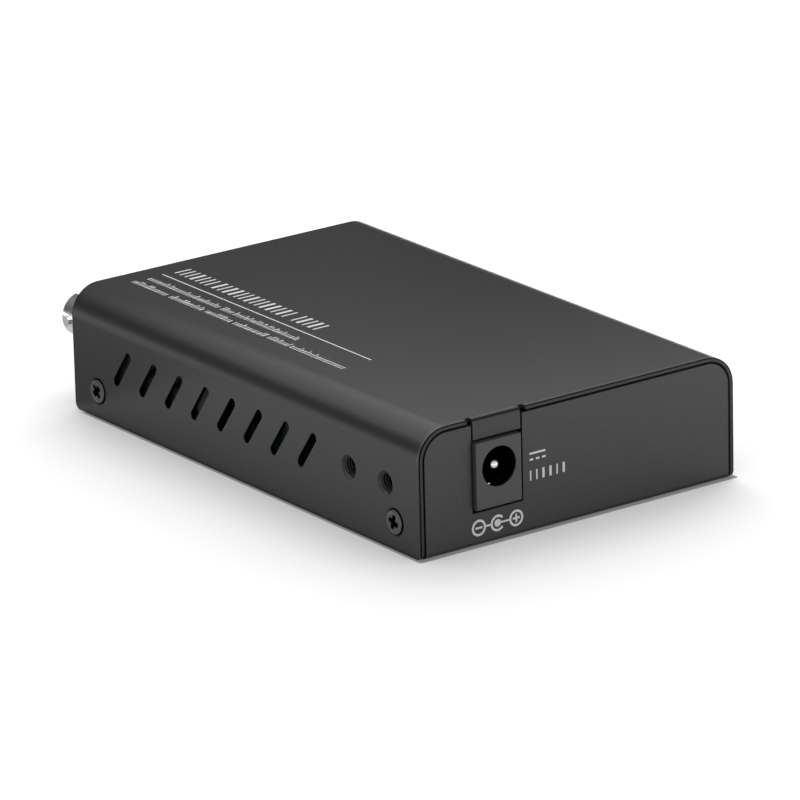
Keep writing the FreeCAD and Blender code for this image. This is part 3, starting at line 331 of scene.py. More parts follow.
@dataclass(frozen=True)
class Finish:
    """One surface finish, turned into a material with procedural nodes.

    tone and tone_far are the two ends of its colour variation, patch_mm the size of that variation,
    grain_mm and relief_mm the size and height of the fine relief, edge_mm the softened edge.
    """

    name: str
    tone: Colour
    tone_far: Colour
    roughness: float
    roughness_spread: float = 0.06
    metallic: float = 0.0
    patch_mm: float = 9.0
    grain_mm: float = 0.16
    relief_mm: float = 0.006
    grain: Grain = Grain.EVEN
    edge_mm: float = 0.0
    specular: float = 0.5
    coat: float = 0.0
    see_through: float = 0.0
    zones: tuple[Zone, ...] = ()
    patch_octaves: float = 3.0
    grain_octaves: float = 2.0
    edge_samples: int = 6

    def material(self) -> bpy.types.Material:
        """Build the material once and hand out the same one afterwards.

        Returns:
            The material of this finish.
        """
        known = bpy.data.materials.get(self.name)
        if known is not None:
            return known
        material = bpy.data.materials.new(self.name)
        material.use_nodes = True
        tree = material.node_tree
        shader = tree.nodes["Principled BSDF"]
        shader.inputs["Metallic"].default_value = self.metallic
        shader.inputs["Specular IOR Level"].default_value = self.specular
        shader.inputs["Coat Weight"].default_value = self.coat
        shader.inputs["Transmission Weight"].default_value = self.see_through
        place = tree.nodes.new("ShaderNodeTexCoord")
        patches = self._noise(tree, place, self.patch_mm, Grain.EVEN, self.patch_octaves)
        mix = tree.nodes.new("ShaderNodeMix")
        mix.data_type = "RGBA"
        mix.inputs["A"].default_value = (*self.tone, 1.0)
        mix.inputs["B"].default_value = (*self.tone_far, 1.0)
        tree.links.new(patches.outputs["Fac"], mix.inputs["Factor"])
        colour = mix.outputs["Result"]
        if self.zones:
            point, metal = Place(tree), tree.nodes.new("ShaderNodeValue").outputs["Value"]
            metal.default_value = self.metallic
            for zone in self.zones:
                colour, metal = zone.lay(point, colour, metal)
            tree.links.new(metal, shader.inputs["Metallic"])
        tree.links.new(colour, shader.inputs["Base Color"])
        grains = self._noise(tree, place, self.grain_mm, self.grain, self.grain_octaves)
        gloss = tree.nodes.new("ShaderNodeMapRange")
        gloss.inputs["To Min"].default_value = self.roughness - self.roughness_spread
        gloss.inputs["To Max"].default_value = self.roughness + self.roughness_spread
        tree.links.new(grains.outputs["Fac"], gloss.inputs["Value"])
        tree.links.new(gloss.outputs["Result"], shader.inputs["Roughness"])
        bump = tree.nodes.new("ShaderNodeBump")
        bump.inputs["Strength"].default_value = 1.0
        bump.inputs["Distance"].default_value = self.relief_mm * MM
        tree.links.new(grains.outputs["Fac"], bump.inputs["Height"])
        if self.edge_mm > 0.0:
            edge = tree.nodes.new("ShaderNodeBevel")
            edge.samples = self.edge_samples
            edge.inputs["Radius"].default_value = self.edge_mm * MM
            tree.links.new(edge.outputs["Normal"], bump.inputs["Normal"])
        tree.links.new(bump.outputs["Normal"], shader.inputs["Normal"])
        return material

    @staticmethod
    def _noise(tree: bpy.types.NodeTree, place: bpy.types.Node, size_mm: float, grain: Grain,
               detail: float) -> bpy.types.Node:
        """Noise of one size in object space.

        Args:
            tree: The material's nodes.
            place: The texture coordinate node.
            size_mm: Size of a feature.
            grain: Direction in which the noise is drawn out.
            detail: Octaves of the noise.

        Returns:
            The noise node.
        """
        mapping = tree.nodes.new("ShaderNodeMapping")
        mapping.inputs["Scale"].default_value = grain.value
        noise = tree.nodes.new("ShaderNodeTexNoise")
        noise.inputs["Scale"].default_value = 1.0 / (size_mm * MM)
        noise.inputs["Detail"].default_value = detail
        tree.links.new(place.outputs["Object"], mapping.inputs["Vector"])
        tree.links.new(mapping.outputs["Vector"], noise.inputs["Vector"])
        return noise


def box_mm(node: str) -> tuple[Vector, Vector]:
    """Lowest and highest corner of a node, in millimetres.

    Args:
        node: Name of the node.

    Returns:
        The two corners.
    """
    low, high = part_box(node)
    return low / MM, high / MM


COVER = box_mm("top_cover")[1]
CHASSIS = box_mm("bottom_chassis")[1]
INLET_LOW, INLET_HIGH = box_mm("inlet_housing")
PIN_LOW, PIN_HIGH = box_mm("inlet_centre_pin")
SCREW_LOW, SCREW_HIGH = box_mm("cover_screws")
INLET_X = (INLET_LOW.x + INLET_HIGH.x) / 2
INLET_Z = PIN_HIGH.z - (PIN_HIGH.x - PIN_LOW.x) / 2
FLAP_HALF = (INLET_HIGH.x - INLET_LOW.x) / 2 + 0.5
BEND = 5.0
BEND_FOOT = COVER.z - BEND
COVER_ARCH = Arch(COVER.x, COVER.z, BEND)
PANEL_ARCH = Arch(CHASSIS.x, CHASSIS.z, BEND + CHASSIS.x - COVER.x)
SEAT_RADIUS = 2.05
SCREW_CENTRE = (SCREW_HIGH.y - SEAT_RADIUS, (SCREW_LOW.z + SCREW_HIGH.z) / 2)

# Painted shade: a near-black tone laid where shade falls, in hollows, bores, recesses and along the seam.
PAINTED_SHADE: Colour = (0.002, 0.002, 0.002)
# Painted highlight: a lighter tone laid along an edge where light catches it.
PAINTED_EDGE_HIGHLIGHT: Colour = (0.05, 0.05, 0.05)
# Painted light: a lighter grey laid over the flap's bend and face.
FLAP_PAINTED_LIGHT: Colour = (0.032, 0.032, 0.032)
# Painted shade on nickel: a darker tone for a nickel face that would reflect a dark hollow.
NICKEL_SHADE: Colour = (0.1, 0.1, 0.1)

COVER_ZONES: tuple[Zone, ...] = (
    # Painted shade on the cover's faces behind its outer sides: the walls of its vents, tapped holes and screw
    # seats.
    WallZone(PAINTED_SHADE, 0.9, 0.2, outer=COVER.x - 0.14, top=BEND_FOOT - 0.2, middle=-7.0, half=31.0),
    # Painted highlight along the rear edge beside the flap, over the bend, fading out below it.
    RimZone(PAINTED_EDGE_HIGHLIGHT, 0.0, 0.2, COVER_ARCH, near=-1.0, far=0.3, end=COVER.y - 0.7, stop=COVER.y - 0.25,
            low=BEND_FOOT, rear_only=True, stretch=Stretch.BESIDE_FLAP),
    # Painted light: the flap's bend and face painted lighter than the coat.
    RimZone(FLAP_PAINTED_LIGHT, 0.0, 0.1, COVER_ARCH, near=0.42, far=9.0, end=COVER.y - 0.4, stretch=Stretch.ON_FLAP),
    # Painted shade: a dark band where the flap's bend starts.
    RimZone(PAINTED_SHADE, 0.62, 0.12, COVER_ARCH, near=0.13, far=0.42, end=COVER.y - 0.6, stretch=Stretch.ON_FLAP),
    # Painted shade: a thin dark line along the outer edge of both end faces.
    RimZone(PAINTED_SHADE, 1.0, 0.1, COVER_ARCH, near=-1.0, far=0.15, end=COVER.y - 0.22),
    # Painted shade: a dark band at the inner edge of the end faces, beside the seam, except on the flap.
    RimZone(PAINTED_SHADE, 1.0, 0.1, COVER_ARCH, near=0.6, far=0.72, end=COVER.y - 0.4, stretch=Stretch.BESIDE_FLAP),
)
PANEL_ZONES: tuple[Zone, ...] = (
    # Painted shade: a dark band round the end panels' outline, along the seam with the cover.
    RimZone(PAINTED_SHADE, 1.0, 0.26, PANEL_ARCH, near=-1.0, far=0.14, end=CHASSIS.y - 0.8),
)
SCREW_ZONES: tuple[Zone, ...] = (
    # Painted shade in the cross recess of each screw head.
    RoundZone(PAINTED_SHADE, 1.0, 0.16, Axis.SCREWS, SCREW_CENTRE, radius=1.5, level=COVER.x + 0.17),
    # Painted shade on each screw head's side wall and its seat, outside the dome.
    RoundZone(PAINTED_SHADE, 1.0, 0.1, Axis.SCREWS, SCREW_CENTRE, radius=1.85, level=COVER.x + 0.1, outside=True),
)
INLET_ZONES: tuple[Zone, ...] = (
    # Painted shade inside the power inlet's bore.
    RoundZone(PAINTED_SHADE, 0.9, 0.2, Axis.INLET, (INLET_X, INLET_Z), radius=3.4, level=INLET_HIGH.y - 0.25),
)
# Painted reflection of the dark bore: the pin's nose darkened outside a small spot off its axis.
PIN_ZONES: tuple[Zone, ...] = (
    RoundZone(NICKEL_SHADE, 1.0, 0.3, Axis.INLET, (INLET_X + 0.25, INLET_Z), radius=0.52, level=COVER.y + 5.0,
              outside=True),
)

CASE_COAT = Finish("case powder coat", (0.012, 0.012, 0.0125), (0.0185, 0.0185, 0.019), 0.35, edge_mm=0.12,
                   patch_mm=0.5, specular=0.35, relief_mm=0.008, zones=COVER_ZONES)
PANEL_COAT = Finish("panel powder coat", (0.0115, 0.0115, 0.012), (0.0265, 0.0265, 0.027), 0.4, edge_mm=0.1,
                    patch_mm=0.5, grain_mm=0.26, relief_mm=0.036, zones=PANEL_ZONES)
SCREW_BLACK = Finish("blackened screw", (0.072, 0.072, 0.074), (0.105, 0.105, 0.107), 0.36, metallic=0.7,
                     patch_mm=1.2, grain_mm=0.08, zones=SCREW_ZONES)
THREAD_BLACK = Finish("coated thread", (0.022, 0.022, 0.022), (0.05, 0.05, 0.05), 0.4, metallic=0.3,
                      patch_mm=0.8, grain_mm=0.07)
PRINT_INK = Finish("pale print", (0.56, 0.56, 0.56), (0.66, 0.66, 0.66), 0.6, patch_mm=0.7, grain_mm=0.12,
                   relief_mm=0.004, specular=0.3)
MOULDED_BLACK = Finish("black moulding", (0.036, 0.036, 0.037), (0.045, 0.045, 0.046), 0.45, patch_mm=3.0,
                       grain_mm=0.1, relief_mm=0.008, edge_mm=0.06, zones=INLET_ZONES)
NICKEL_TURNED = Finish("turned nickel", (0.78, 0.78, 0.77), (0.88, 0.87, 0.86), 0.2, metallic=1.0, patch_mm=2.0,
                       grain_mm=0.2, relief_mm=0.002, grain=Grain.ALONG_X, edge_mm=0.08)
NICKEL_CONTACT = Finish("nickel contact", (0.62, 0.61, 0.58), (0.76, 0.74, 0.70), 0.16, metallic=1.0,
                        patch_mm=1.0, grain_mm=0.12, relief_mm=0.002)
PIN_NICKEL = replace(NICKEL_CONTACT, name="pin nickel", zones=PIN_ZONES)
GOLD_CONTACT = Finish("gold contact", (0.72, 0.50, 0.18), (0.84, 0.62, 0.28), 0.22, metallic=1.0, patch_mm=1.0,
                      grain_mm=0.1, relief_mm=0.002)
TINNED_SHELL = Finish("tinned shell", (0.50, 0.50, 0.49), (0.64, 0.64, 0.63), 0.34, metallic=1.0, patch_mm=2.5,
                      grain_mm=0.3, relief_mm=0.004, grain=Grain.ALONG_Y, edge_mm=0.05)
PLATED_STEEL = Finish("plated steel", (0.46, 0.46, 0.45), (0.6, 0.6, 0.58), 0.3, metallic=1.0, patch_mm=1.5,
                      grain_mm=0.15, relief_mm=0.003)
CERAMIC = Finish("ceramic sleeve", (0.74, 0.73, 0.69), (0.80, 0.79, 0.75), 0.18, patch_mm=2.0, grain_mm=0.15,
                 relief_mm=0.001, coat=0.4)
CHIP_RESIN = Finish("chip resin", (0.022, 0.022, 0.023), (0.033, 0.033, 0.034), 0.6, patch_mm=1.5, grain_mm=0.12,
                    relief_mm=0.01)
FERRITE = Finish("ferrite", (0.06, 0.06, 0.06), (0.09, 0.09, 0.09), 0.65, patch_mm=1.0, grain_mm=0.15,
                 relief_mm=0.012)
FUSE_RESIN = Finish("green resin", (0.04, 0.16, 0.07), (0.06, 0.21, 0.1), 0.45, patch_mm=1.0, grain_mm=0.2)
TAN_CERAMIC = Finish("tan ceramic", (0.42, 0.31, 0.19), (0.52, 0.39, 0.25), 0.5, patch_mm=0.8, grain_mm=0.1)
BOARD_GREEN = Finish("solder mask", (0.018, 0.11, 0.04), (0.03, 0.16, 0.06), 0.35, patch_mm=1.6, grain_mm=0.5,
                     relief_mm=0.01, coat=0.3)
CAPACITOR_SLEEVE = Finish("capacitor sleeve", (0.025, 0.035, 0.10), (0.035, 0.045, 0.13), 0.35, patch_mm=3.0,
                          grain_mm=0.25)
LAMP_GREEN = Finish("green lamp", (0.10, 0.48, 0.14), (0.16, 0.60, 0.2), 0.12, patch_mm=1.5, grain_mm=0.4,
                    relief_mm=0.002, see_through=0.55)

FINISHED_NODES: tuple[tuple[Finish, tuple[str, ...]], ...] = (
    (CASE_COAT, ("top_cover",)),
    (PANEL_COAT, ("bottom_chassis",)),
    (MOULDED_BLACK, ("inlet_housing", "rj45_insert", "fibre_housing", "lamp_holder")),
    (PIN_NICKEL, ("inlet_centre_pin",)),
    (NICKEL_CONTACT, ("inlet_spring",)),
    (NICKEL_TURNED, ("receive_barrel", "transmit_barrel")),
    (CERAMIC, ("receive_sleeve", "transmit_sleeve")),
    (TINNED_SHELL, ("rj45_shield", "fibre_shield", "clock_crystal")),
    (GOLD_CONTACT, ("rj45_contacts", "fibre_pins")),
    (LAMP_GREEN, ("status_lamps",)),
    (PLATED_STEEL, ("board_pillars", "board_screws", "lamp_leads", "converter_chip_legs", "line_transformer_legs",
                    "regulator_legs")),
    (CHIP_RESIN, ("converter_chip", "line_transformer", "regulator_chip", "input_diode")),
    (BOARD_GREEN, ("circuit_board",)),
    (CAPACITOR_SLEEVE, ("filter_capacitors",)),
    (FERRITE, ("power_inductor",)),
    (FUSE_RESIN, ("input_fuse",)),
    (TAN_CERAMIC, ("chip_capacitors",)),
)


@dataclass
class Shell:
    """Points, in millimetres, and faces of a piece while it is built."""

    vertices: list[Vector] = field(default_factory=list)
    faces: list[list[int]] = field(default_factory=list)

    def skin(self, rings: Sequence[Sequence[Vector]], closed: bool = False, apex: Vector | None = None) -> None:
        """Skin a row of rings that have as many points each.

        Args:
            rings: The rings, in order.
            closed: Whether the last ring joins the first. Otherwise both ends are closed by a face.
            apex: Point that closes the start with a fan in place of a face.
        """
        count = len(rings[0])
        starts = [len(self.vertices) + count * k for k in range(len(rings))]
        for ring in rings:
            self.vertices += ring
        for a, b in zip(starts, starts[1:] + (starts[:1] if closed else [])):
            for i in range(count):
                j = (i + 1) % count
                self.faces.append([a + i, a + j, b + j, b + i])
        if closed:
            return
        self.faces.append([starts[-1] + i for i in range(count)])
        if apex is None:
            self.faces.append([starts[0] + i for i in reversed(range(count))])
            return
        self.vertices.append(apex)
        for i in range(count):
            self.faces.append([starts[0] + (i + 1) % count, starts[0] + i, len(self.vertices) - 1])

    def build(self, name: str, finish: Finish, slot: str, smooth: bool = False) -> bpy.types.Object:
        """Turn the shell into a dressed piece that rides on the one body.

        Args:
            name: Name of the piece.
            finish: What it is finished with.
            slot: Not used.
            smooth: Whether its faces are shaded smooth.

        Returns:
            The new object.
        """
        mesh = bpy.data.meshes.new(name)
        mesh.from_pydata([tuple(v * MM) for v in self.vertices], [], self.faces)
        shape = bmesh.new()
        shape.from_mesh(mesh)
        bmesh.ops.recalc_face_normals(shape, faces=shape.faces)
        shape.to_mesh(mesh)
        shape.free()
        mesh.polygons.foreach_set("use_smooth", [smooth] * len(mesh.polygons))
        mesh.materials.append(finish.material())
        piece = bpy.data.objects.new(name, mesh)
        bpy.context.scene.collection.objects.link(piece)
        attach(piece, BODY)
        return piece


class Side(Enum):
    """Face of the case that carries print: its outward normal and the direction in which print reads."""

    TOP = ((0.0, 0.0, 1.0), (0.0, 1.0, 0.0))
    REAR = ((0.0, 1.0, 0.0), (-1.0, 0.0, 0.0))


@dataclass(frozen=True)
class BarStyle:
    """Upright bars of a printed row: their widths and heights, and the gaps between bars and between groups."""

    widths: tuple[float, ...]
    gap: float
    space: float = 0.0
    heights: tuple[float, ...] = (1.0,)


@dataclass
class PrintSheet:
    """Thin printed shapes on one face, gathered into one piece.

    A shape's outline is given as (along, up) in millimetres on the face. The ink stands proud by
    its own thickness and reaches a hair below the surface, so nothing flickers.
    """

    name: str
    side: Side
    level: float
    ink: float = 0.02
    root: float = 0.01
    slack: float = 0.01
    shell: Shell = field(default_factory=Shell)

    def _point(self, along: float, up: float, height: float) -> Vector:
        """Place a point of the print on its face.

        Args:
            along: Distance in the reading direction.
            up: Distance towards the top of the print.
            height: Distance over the surface.

        Returns:
            The point in the frame, in millimetres.
        """
        normal, right = Vector(self.side.value[0]), Vector(self.side.value[1])
        return right * along + normal.cross(right) * up + normal * (self.level + height)

    def strip(self, left: Sequence[Point2], right: Sequence[Point2], closed: bool = False) -> None:
        """Add a band between two lines of points.

        Args:
            left: One edge.
            right: The other edge, with as many points.
            closed: Whether the band runs round to its start.
        """
        self.shell.skin([[self._point(*near, self.ink), self._point(*far, self.ink),
                          self._point(*far, -self.root), self._point(*near, -self.root)]
                         for near, far in zip(left, right)], closed)

    def bar(self, x0: float, x1: float, y0: float, y1: float) -> None:
        """Add a rectangle between two corners."""
        self.strip([(x0, y0), (x0, y1)], [(x1, y0), (x1, y1)])

    def ring(self, x: float, y: float, outer: float, inner: float, start: float = 0.0, sweep: float = 360.0,
             steps: int = 48) -> None:
        """Add a ring or an arc of it.

        Args:
            x: Centre along the reading direction.
            y: Centre, upwards.
            outer: Outer radius.
            inner: Inner radius.
            start: Where the arc begins, in degrees.
            sweep: How far it runs, in degrees.
            steps: Points round it.
        """
        closed = sweep >= 360.0
        turns = [math.radians(start + sweep * i / steps) for i in range(steps if closed else steps + 1)]
        edges = [[(x + radius * math.cos(t), y + radius * math.sin(t)) for t in turns] for radius in (outer, inner)]
        self.strip(*edges, closed)

    def dot(self, x: float, y: float, radius: float, steps: int = 32) -> None:
        """Add a filled disc.

        Args:
            x: Centre along the reading direction.
            y: Centre, upwards.
            radius: Its radius.
            steps: Strips across it.
        """
        turns = [math.pi * i / steps for i in range(steps + 1)]
        edges = [[(x + sign * radius * math.sin(t), y - radius * math.cos(t)) for t in turns] for sign in (-1, 1)]
        self.strip(*edges)

    def words(self, row: Row, shares: Sequence[float], style: BarStyle, dice: random.Random) -> None:
        """Fill a row with upright bars in word-like groups.

        Args:
            row: Start, end, lower edge and upper edge of the row.
            shares: Share of the row that each group takes.
            style: The bars.
            dice: Source of the choice among their widths and heights.
        """
        start, end, low, high = row
        room = end - start - style.space * (len(shares) - 1)
        for share in shares:
            stop = start + room * share / sum(shares)
            along = start
            while along + min(style.widths) <= stop + self.slack:
                width = min(dice.choice(style.widths), stop - along)
                self.bar(along, along + width, low, low + (high - low) * dice.choice(style.heights))
                along += width + style.gap
            start = stop + style.space

    def build(self) -> bpy.types.Object:
        """Turn the gathered shapes into one piece."""
        return self.shell.build(self.name, PRINT_INK, "print_ink")


@dataclass
class TopPrint:
    """Print on the lid, kept to plain bars: a bold row, a rule and two fine rows, reading towards the rear.

    A row is (start, end, lower edge, upper edge).
    """

    lid: float = COVER.z
    heading: Row = (-42.5, -2.7, -13.06, -9.94)
    rule: Row = (-43.0, 14.2, -15.12, -14.88)
    rows: tuple[Row, ...] = ((-42.5, -1.4, -18.4, -16.9), (-42.9, 15.1, -21.15, -19.65))
    heading_words: tuple[float, ...] = (0.24, 0.56, 0.2)
    row_words: tuple[tuple[float, ...], ...] = ((0.5, 0.07, 0.43), (0.18, 0.17, 0.13, 0.16, 0.1, 0.26))
    bold: BarStyle = BarStyle((0.36, 0.36, 0.62), 1.0, 1.3)
    fine: BarStyle = BarStyle((0.2, 0.2, 0.3), 0.42, 0.7, (0.68, 0.68, 1.0))
    seed: int = 11

    def build(self) -> bpy.types.Object:
        """Lay out all bars on the lid.

        Returns:
            The printed piece.
        """
        sheet = PrintSheet("lid_print", Side.TOP, self.lid)
        dice = random.Random(self.seed)
        sheet.words(self.heading, self.heading_words, self.bold, dice)
        sheet.bar(*self.rule)
        for row, words in zip(self.rows, self.row_words):
            sheet.words(row, words, self.fine, dice)
        return sheet.build()


@dataclass
class RearPrint:
    """Marks beside the power inlet: the polarity sign, a direct-current sign and one plain row."""

    panel: float = CHASSIS.y
    sign_height: float = 2.93
    minus: float = -INLET_X - 3.37
    centre: float = -INLET_X + 0.17
    plus: float = -INLET_X + 3.68
    ring_outer: float = 1.32
    stroke: float = 0.37
    link: float = 0.3
    arm: float = 0.66
    arm_half: float = 0.165
    opening: float = 38.0
    dot_radius: float = 0.6
    overlap: float = 0.05
    line: Row = (-9.4, -6.4, 12.38, 12.7)
    dashes: tuple[float, ...] = (-9.4, -8.22, -7.04)
    dash_length: float = 0.68
    dash_edges: Point2 = (11.42, 11.74)
    row: Row = (-9.4, -2.7, 8.25, 9.85)
    bars: BarStyle = BarStyle((0.26, 0.26, 0.42), 0.92)
    seed: int = 3

    def build(self) -> bpy.types.Object:
        """Draw all marks on the rear panel.

        Returns:
            The printed piece.
        """
        sheet = PrintSheet("rear_print", Side.REAR, self.panel)
        self._polarity(sheet)
        self._direct_current(sheet)
        return sheet.build()

    def _polarity(self, sheet: PrintSheet) -> None:
        """Draw minus in a ring, an open ring round a dot, and plus in a ring, joined by lines.

        Args:
            sheet: The print it belongs to.
        """
        z, outer, arm, thin = self.sign_height, self.ring_outer, self.arm, self.arm_half
        inner, half = outer - self.stroke, self.link / 2
        for x in (self.minus, self.plus):
            sheet.ring(x, z, outer, inner)
            sheet.bar(x - arm, x + arm, z - thin, z + thin)
        sheet.bar(self.plus - thin, self.plus + thin, z + thin, z + arm)
        sheet.bar(self.plus - thin, self.plus + thin, z - arm, z - thin)
        sheet.ring(self.centre, z, outer, inner, self.opening, 360.0 - 2 * self.opening)
        sheet.dot(self.centre, z, self.dot_radius)
        reach = outer - self.overlap
        sheet.bar(self.minus + reach, self.centre - reach, z - half, z + half)
        sheet.bar(self.centre + self.dot_radius - self.overlap, self.plus - reach, z - half, z + half)

    def _direct_current(self, sheet: PrintSheet) -> None:
        """Draw a solid line over a broken one, and a plain row of bars below them.

        Args:
            sheet: The print it belongs to.
        """
        sheet.bar(*self.line)
        for start in self.dashes:
            sheet.bar(start, start + self.dash_length, *self.dash_edges)
        sheet.words(self.row, (1.0,), self.bars, random.Random(self.seed))


@dataclass
class CoverScrews:
    """Raised countersunk screws with soft-edged cross recesses, two on each side of the case."""

    head_radius: float = 1.93
    thread_radius: float = 1.25
    dome: float = 0.3
    dome_power: float = 2.6
    rim: float = 0.12
    wall: float = 0.4
    length: float = 4.0
    chamfer: float = 0.3
    recess_reach: float = 1.2
    recess_arm: float = 0.45
    arm_flare: float = 1.12
    arm_taper: float = 0.2
    arm_soft: float = 0.09
    end_soft: float = 0.2
    recess_depth: float = 1.15
    recess_slope: float = 0.55
    turns: Point2 = (42.0, 74.0)
    ring_count: int = 44
    spokes: int = 120

    def build(self) -> bpy.types.Object:
        """Build the four screws as one piece that stands for the solid ones.

        Returns:
            The piece.
        """
        shell = Shell()
        rows = (SCREW_LOW.y + SEAT_RADIUS, SCREW_HIGH.y - SEAT_RADIUS)
        for side in (1.0, -1.0):
            for y, turn in zip(rows, self.turns):
                self._screw(shell, Matrix.Translation((side * COVER.x, y, SCREW_CENTRE[1]))
                            @ Matrix.Rotation(math.radians(90 * side), 4, "Y")
                            @ Matrix.Rotation(math.radians(turn), 4, "Z"))
        piece = shell.build("cover_screw_heads", SCREW_BLACK, "screw_black", smooth=True)
        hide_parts("cover_screws")
        return piece

    def _surface(self, radius: float, turn: float) -> float:
        """Height of the head's upper face.

        Args:
            radius: Distance from the screw's axis.
            turn: Angle round it.

        Returns:
            The height over the face of the case, along the screw's axis.
        """
        share = radius / self.head_radius
        height = self.rim + self.dome * math.sqrt(max(0.0, 1 - share ** self.dome_power))
        x, y = abs(radius * math.cos(turn)), abs(radius * math.sin(turn))
        along, across = max(x, y), min(x, y)
        half = self.recess_arm * (self.arm_flare - self.arm_taper * along / self.recess_reach)
        inside = min(self._ease((half - across) / self.arm_soft),
                     self._ease((self.recess_reach - along) / self.end_soft))
        return height - self.recess_depth * (1.0 - self.recess_slope * along / self.recess_reach) * inside

    @staticmethod
    def _ease(value: float) -> float:
        """Smooth step from 0 to 1 round the middle of a soft edge."""
        share = min(1.0, max(0.0, value + 0.5))
        return share * share * (3 - 2 * share)

    def _screw(self, shell: Shell, place: Matrix) -> None:
        """Add one screw: its head as a fine disc of rings, then its wall, cone and shank.

        Args:
            shell: The piece it is added to.
            place: Where the screw sits, its axis along +Z before the move.
        """
        turns = [2 * math.pi * j / self.spokes for j in range(self.spokes)]
        rings = []
        for i in range(1, self.ring_count + 1):
            radius = self.head_radius * (i / self.ring_count)
            rings.append([(radius, turn, self._surface(radius, turn)) for turn in turns])
        base = self.rim - self.wall
        for radius, height in ((self.head_radius, base),
                               (self.thread_radius, base - (self.head_radius - self.thread_radius)),
                               (self.thread_radius, self.chamfer - self.length),
                               (self.thread_radius - self.chamfer, -self.length)):
            rings.append([(radius, turn, height) for turn in turns])
        shell.skin([[place @ Vector((radius * math.cos(turn), radius * math.sin(turn), height))
                     for radius, turn, height in ring] for ring in rings],
                   apex=place @ Vector((0, 0, self._surface(0.0, 0.0))))


@dataclass
class SideThreads:
    """Fine helical threads inside the four tapped collars."""

    bore: float = 1.5
    crest: float = 0.17
    thinnest: float = 0.004
    sunk: float = 0.02
    flank: float = 0.18
    pitch: float = 0.5
    spacing: float = 9.45
    rear_inset: float = 8.8
    height: float = 10.2
    entry: float = 0.4
    depth: float = 1.95
    steps: int = 40

    def build(self) -> bpy.types.Object:
        """Wind one ridge inside each collar.

        Returns:
            The piece with all four threads.
        """
        shell = Shell()
        for side in (1.0, -1.0):
            for back in (self.rear_inset, self.rear_inset + self.spacing):
                self._ridge(shell, side, COVER.y - back)
        return shell.build("side_hole_threads", THREAD_BLACK, "case_coat", smooth=True)

    def _ridge(self, shell: Shell, side: float, y: float) -> None:
        """Wind one ridge.

        Args:
            shell: The piece it is added to.
            side: +1 or -1, the side of the case.
            y: Where the hole lies.
        """
        count = int((self.depth - self.entry) / self.pitch * self.steps)
        root = self.bore + self.sunk
        rings = []
        for i in range(count + 1):
            turn = 2 * math.pi * i / self.steps
            taper = min(1.0, i / (self.steps / 2), (count - i) / (self.steps / 2))
            inward = self.entry + self.pitch * i / self.steps
            crest = self.bore - max(self.thinnest, self.crest * taper)
            rings.append([Vector((side * (COVER.x - inward - offset), y + radius * math.cos(turn),
                                  self.height + radius * math.sin(turn)))
                          for offset, radius in ((-self.flank, root), (0.0, crest), (self.flank, root))])
        shell.skin(rings)


@dataclass
class ContactLip:
    """Rolled tip of the inlet's contact spring, low in the bore and off its middle.

    rounding holds distances from an end and the shares of the radius there.
    """

    radius: float = 0.2
    width: float = 0.6
    off_middle: float = 0.75
    behind_mouth: float = 1.75
    below_axis: float = 3.12
    sides: int = 20
    rounding: tuple[Point2, ...] = ((0.0, 0.4), (0.08, 0.8), (0.2, 1.0))

    def build(self) -> bpy.types.Object:
        """Roll the lip as a bead with soft ends.

        Returns:
            The piece.
        """
        low, high = box_mm("inlet_spring")
        middle = Vector(((low.x + high.x) / 2 + self.off_middle, INLET_HIGH.y - self.behind_mouth,
                         INLET_Z - self.below_axis))
        half = self.width / 2
        stations = [(inset - half, share) for inset, share in self.rounding]
        stations += [(-offset, share) for offset, share in reversed(stations)]
        turns = [2 * math.pi * i / self.sides for i in range(self.sides)]
        shell = Shell()
        shell.skin([[middle + Vector((offset, self.radius * share * math.cos(turn),
                                      self.radius * share * math.sin(turn))) for turn in turns]
                    for offset, share in stations])
        return shell.build("inlet_contact_lip", NICKEL_CONTACT, "contact_nickel", smooth=True)


@dataclass
class CadDress:
    """Finishes for the pieces that come from the frame, and smooth shading on their round faces."""

    finished: tuple[tuple[Finish, tuple[str, ...]], ...]
    smooth_angle: float = 28.0

    def build(self) -> None:
        """Dress every node that has a finish of its own."""
        for finish, names in self.finished:
            for name in names:
                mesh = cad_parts[name].data
                if mesh.materials:
                    mesh.materials[0] = finish.material()
                else:
                    mesh.materials.append(finish.material())
                mesh.polygons.foreach_set("use_smooth", [True] * len(mesh.polygons))
                mesh.set_sharp_from_angle(angle=math.radians(self.smooth_angle))
                LOG.info("dressed %s with %s", name, finish.name)


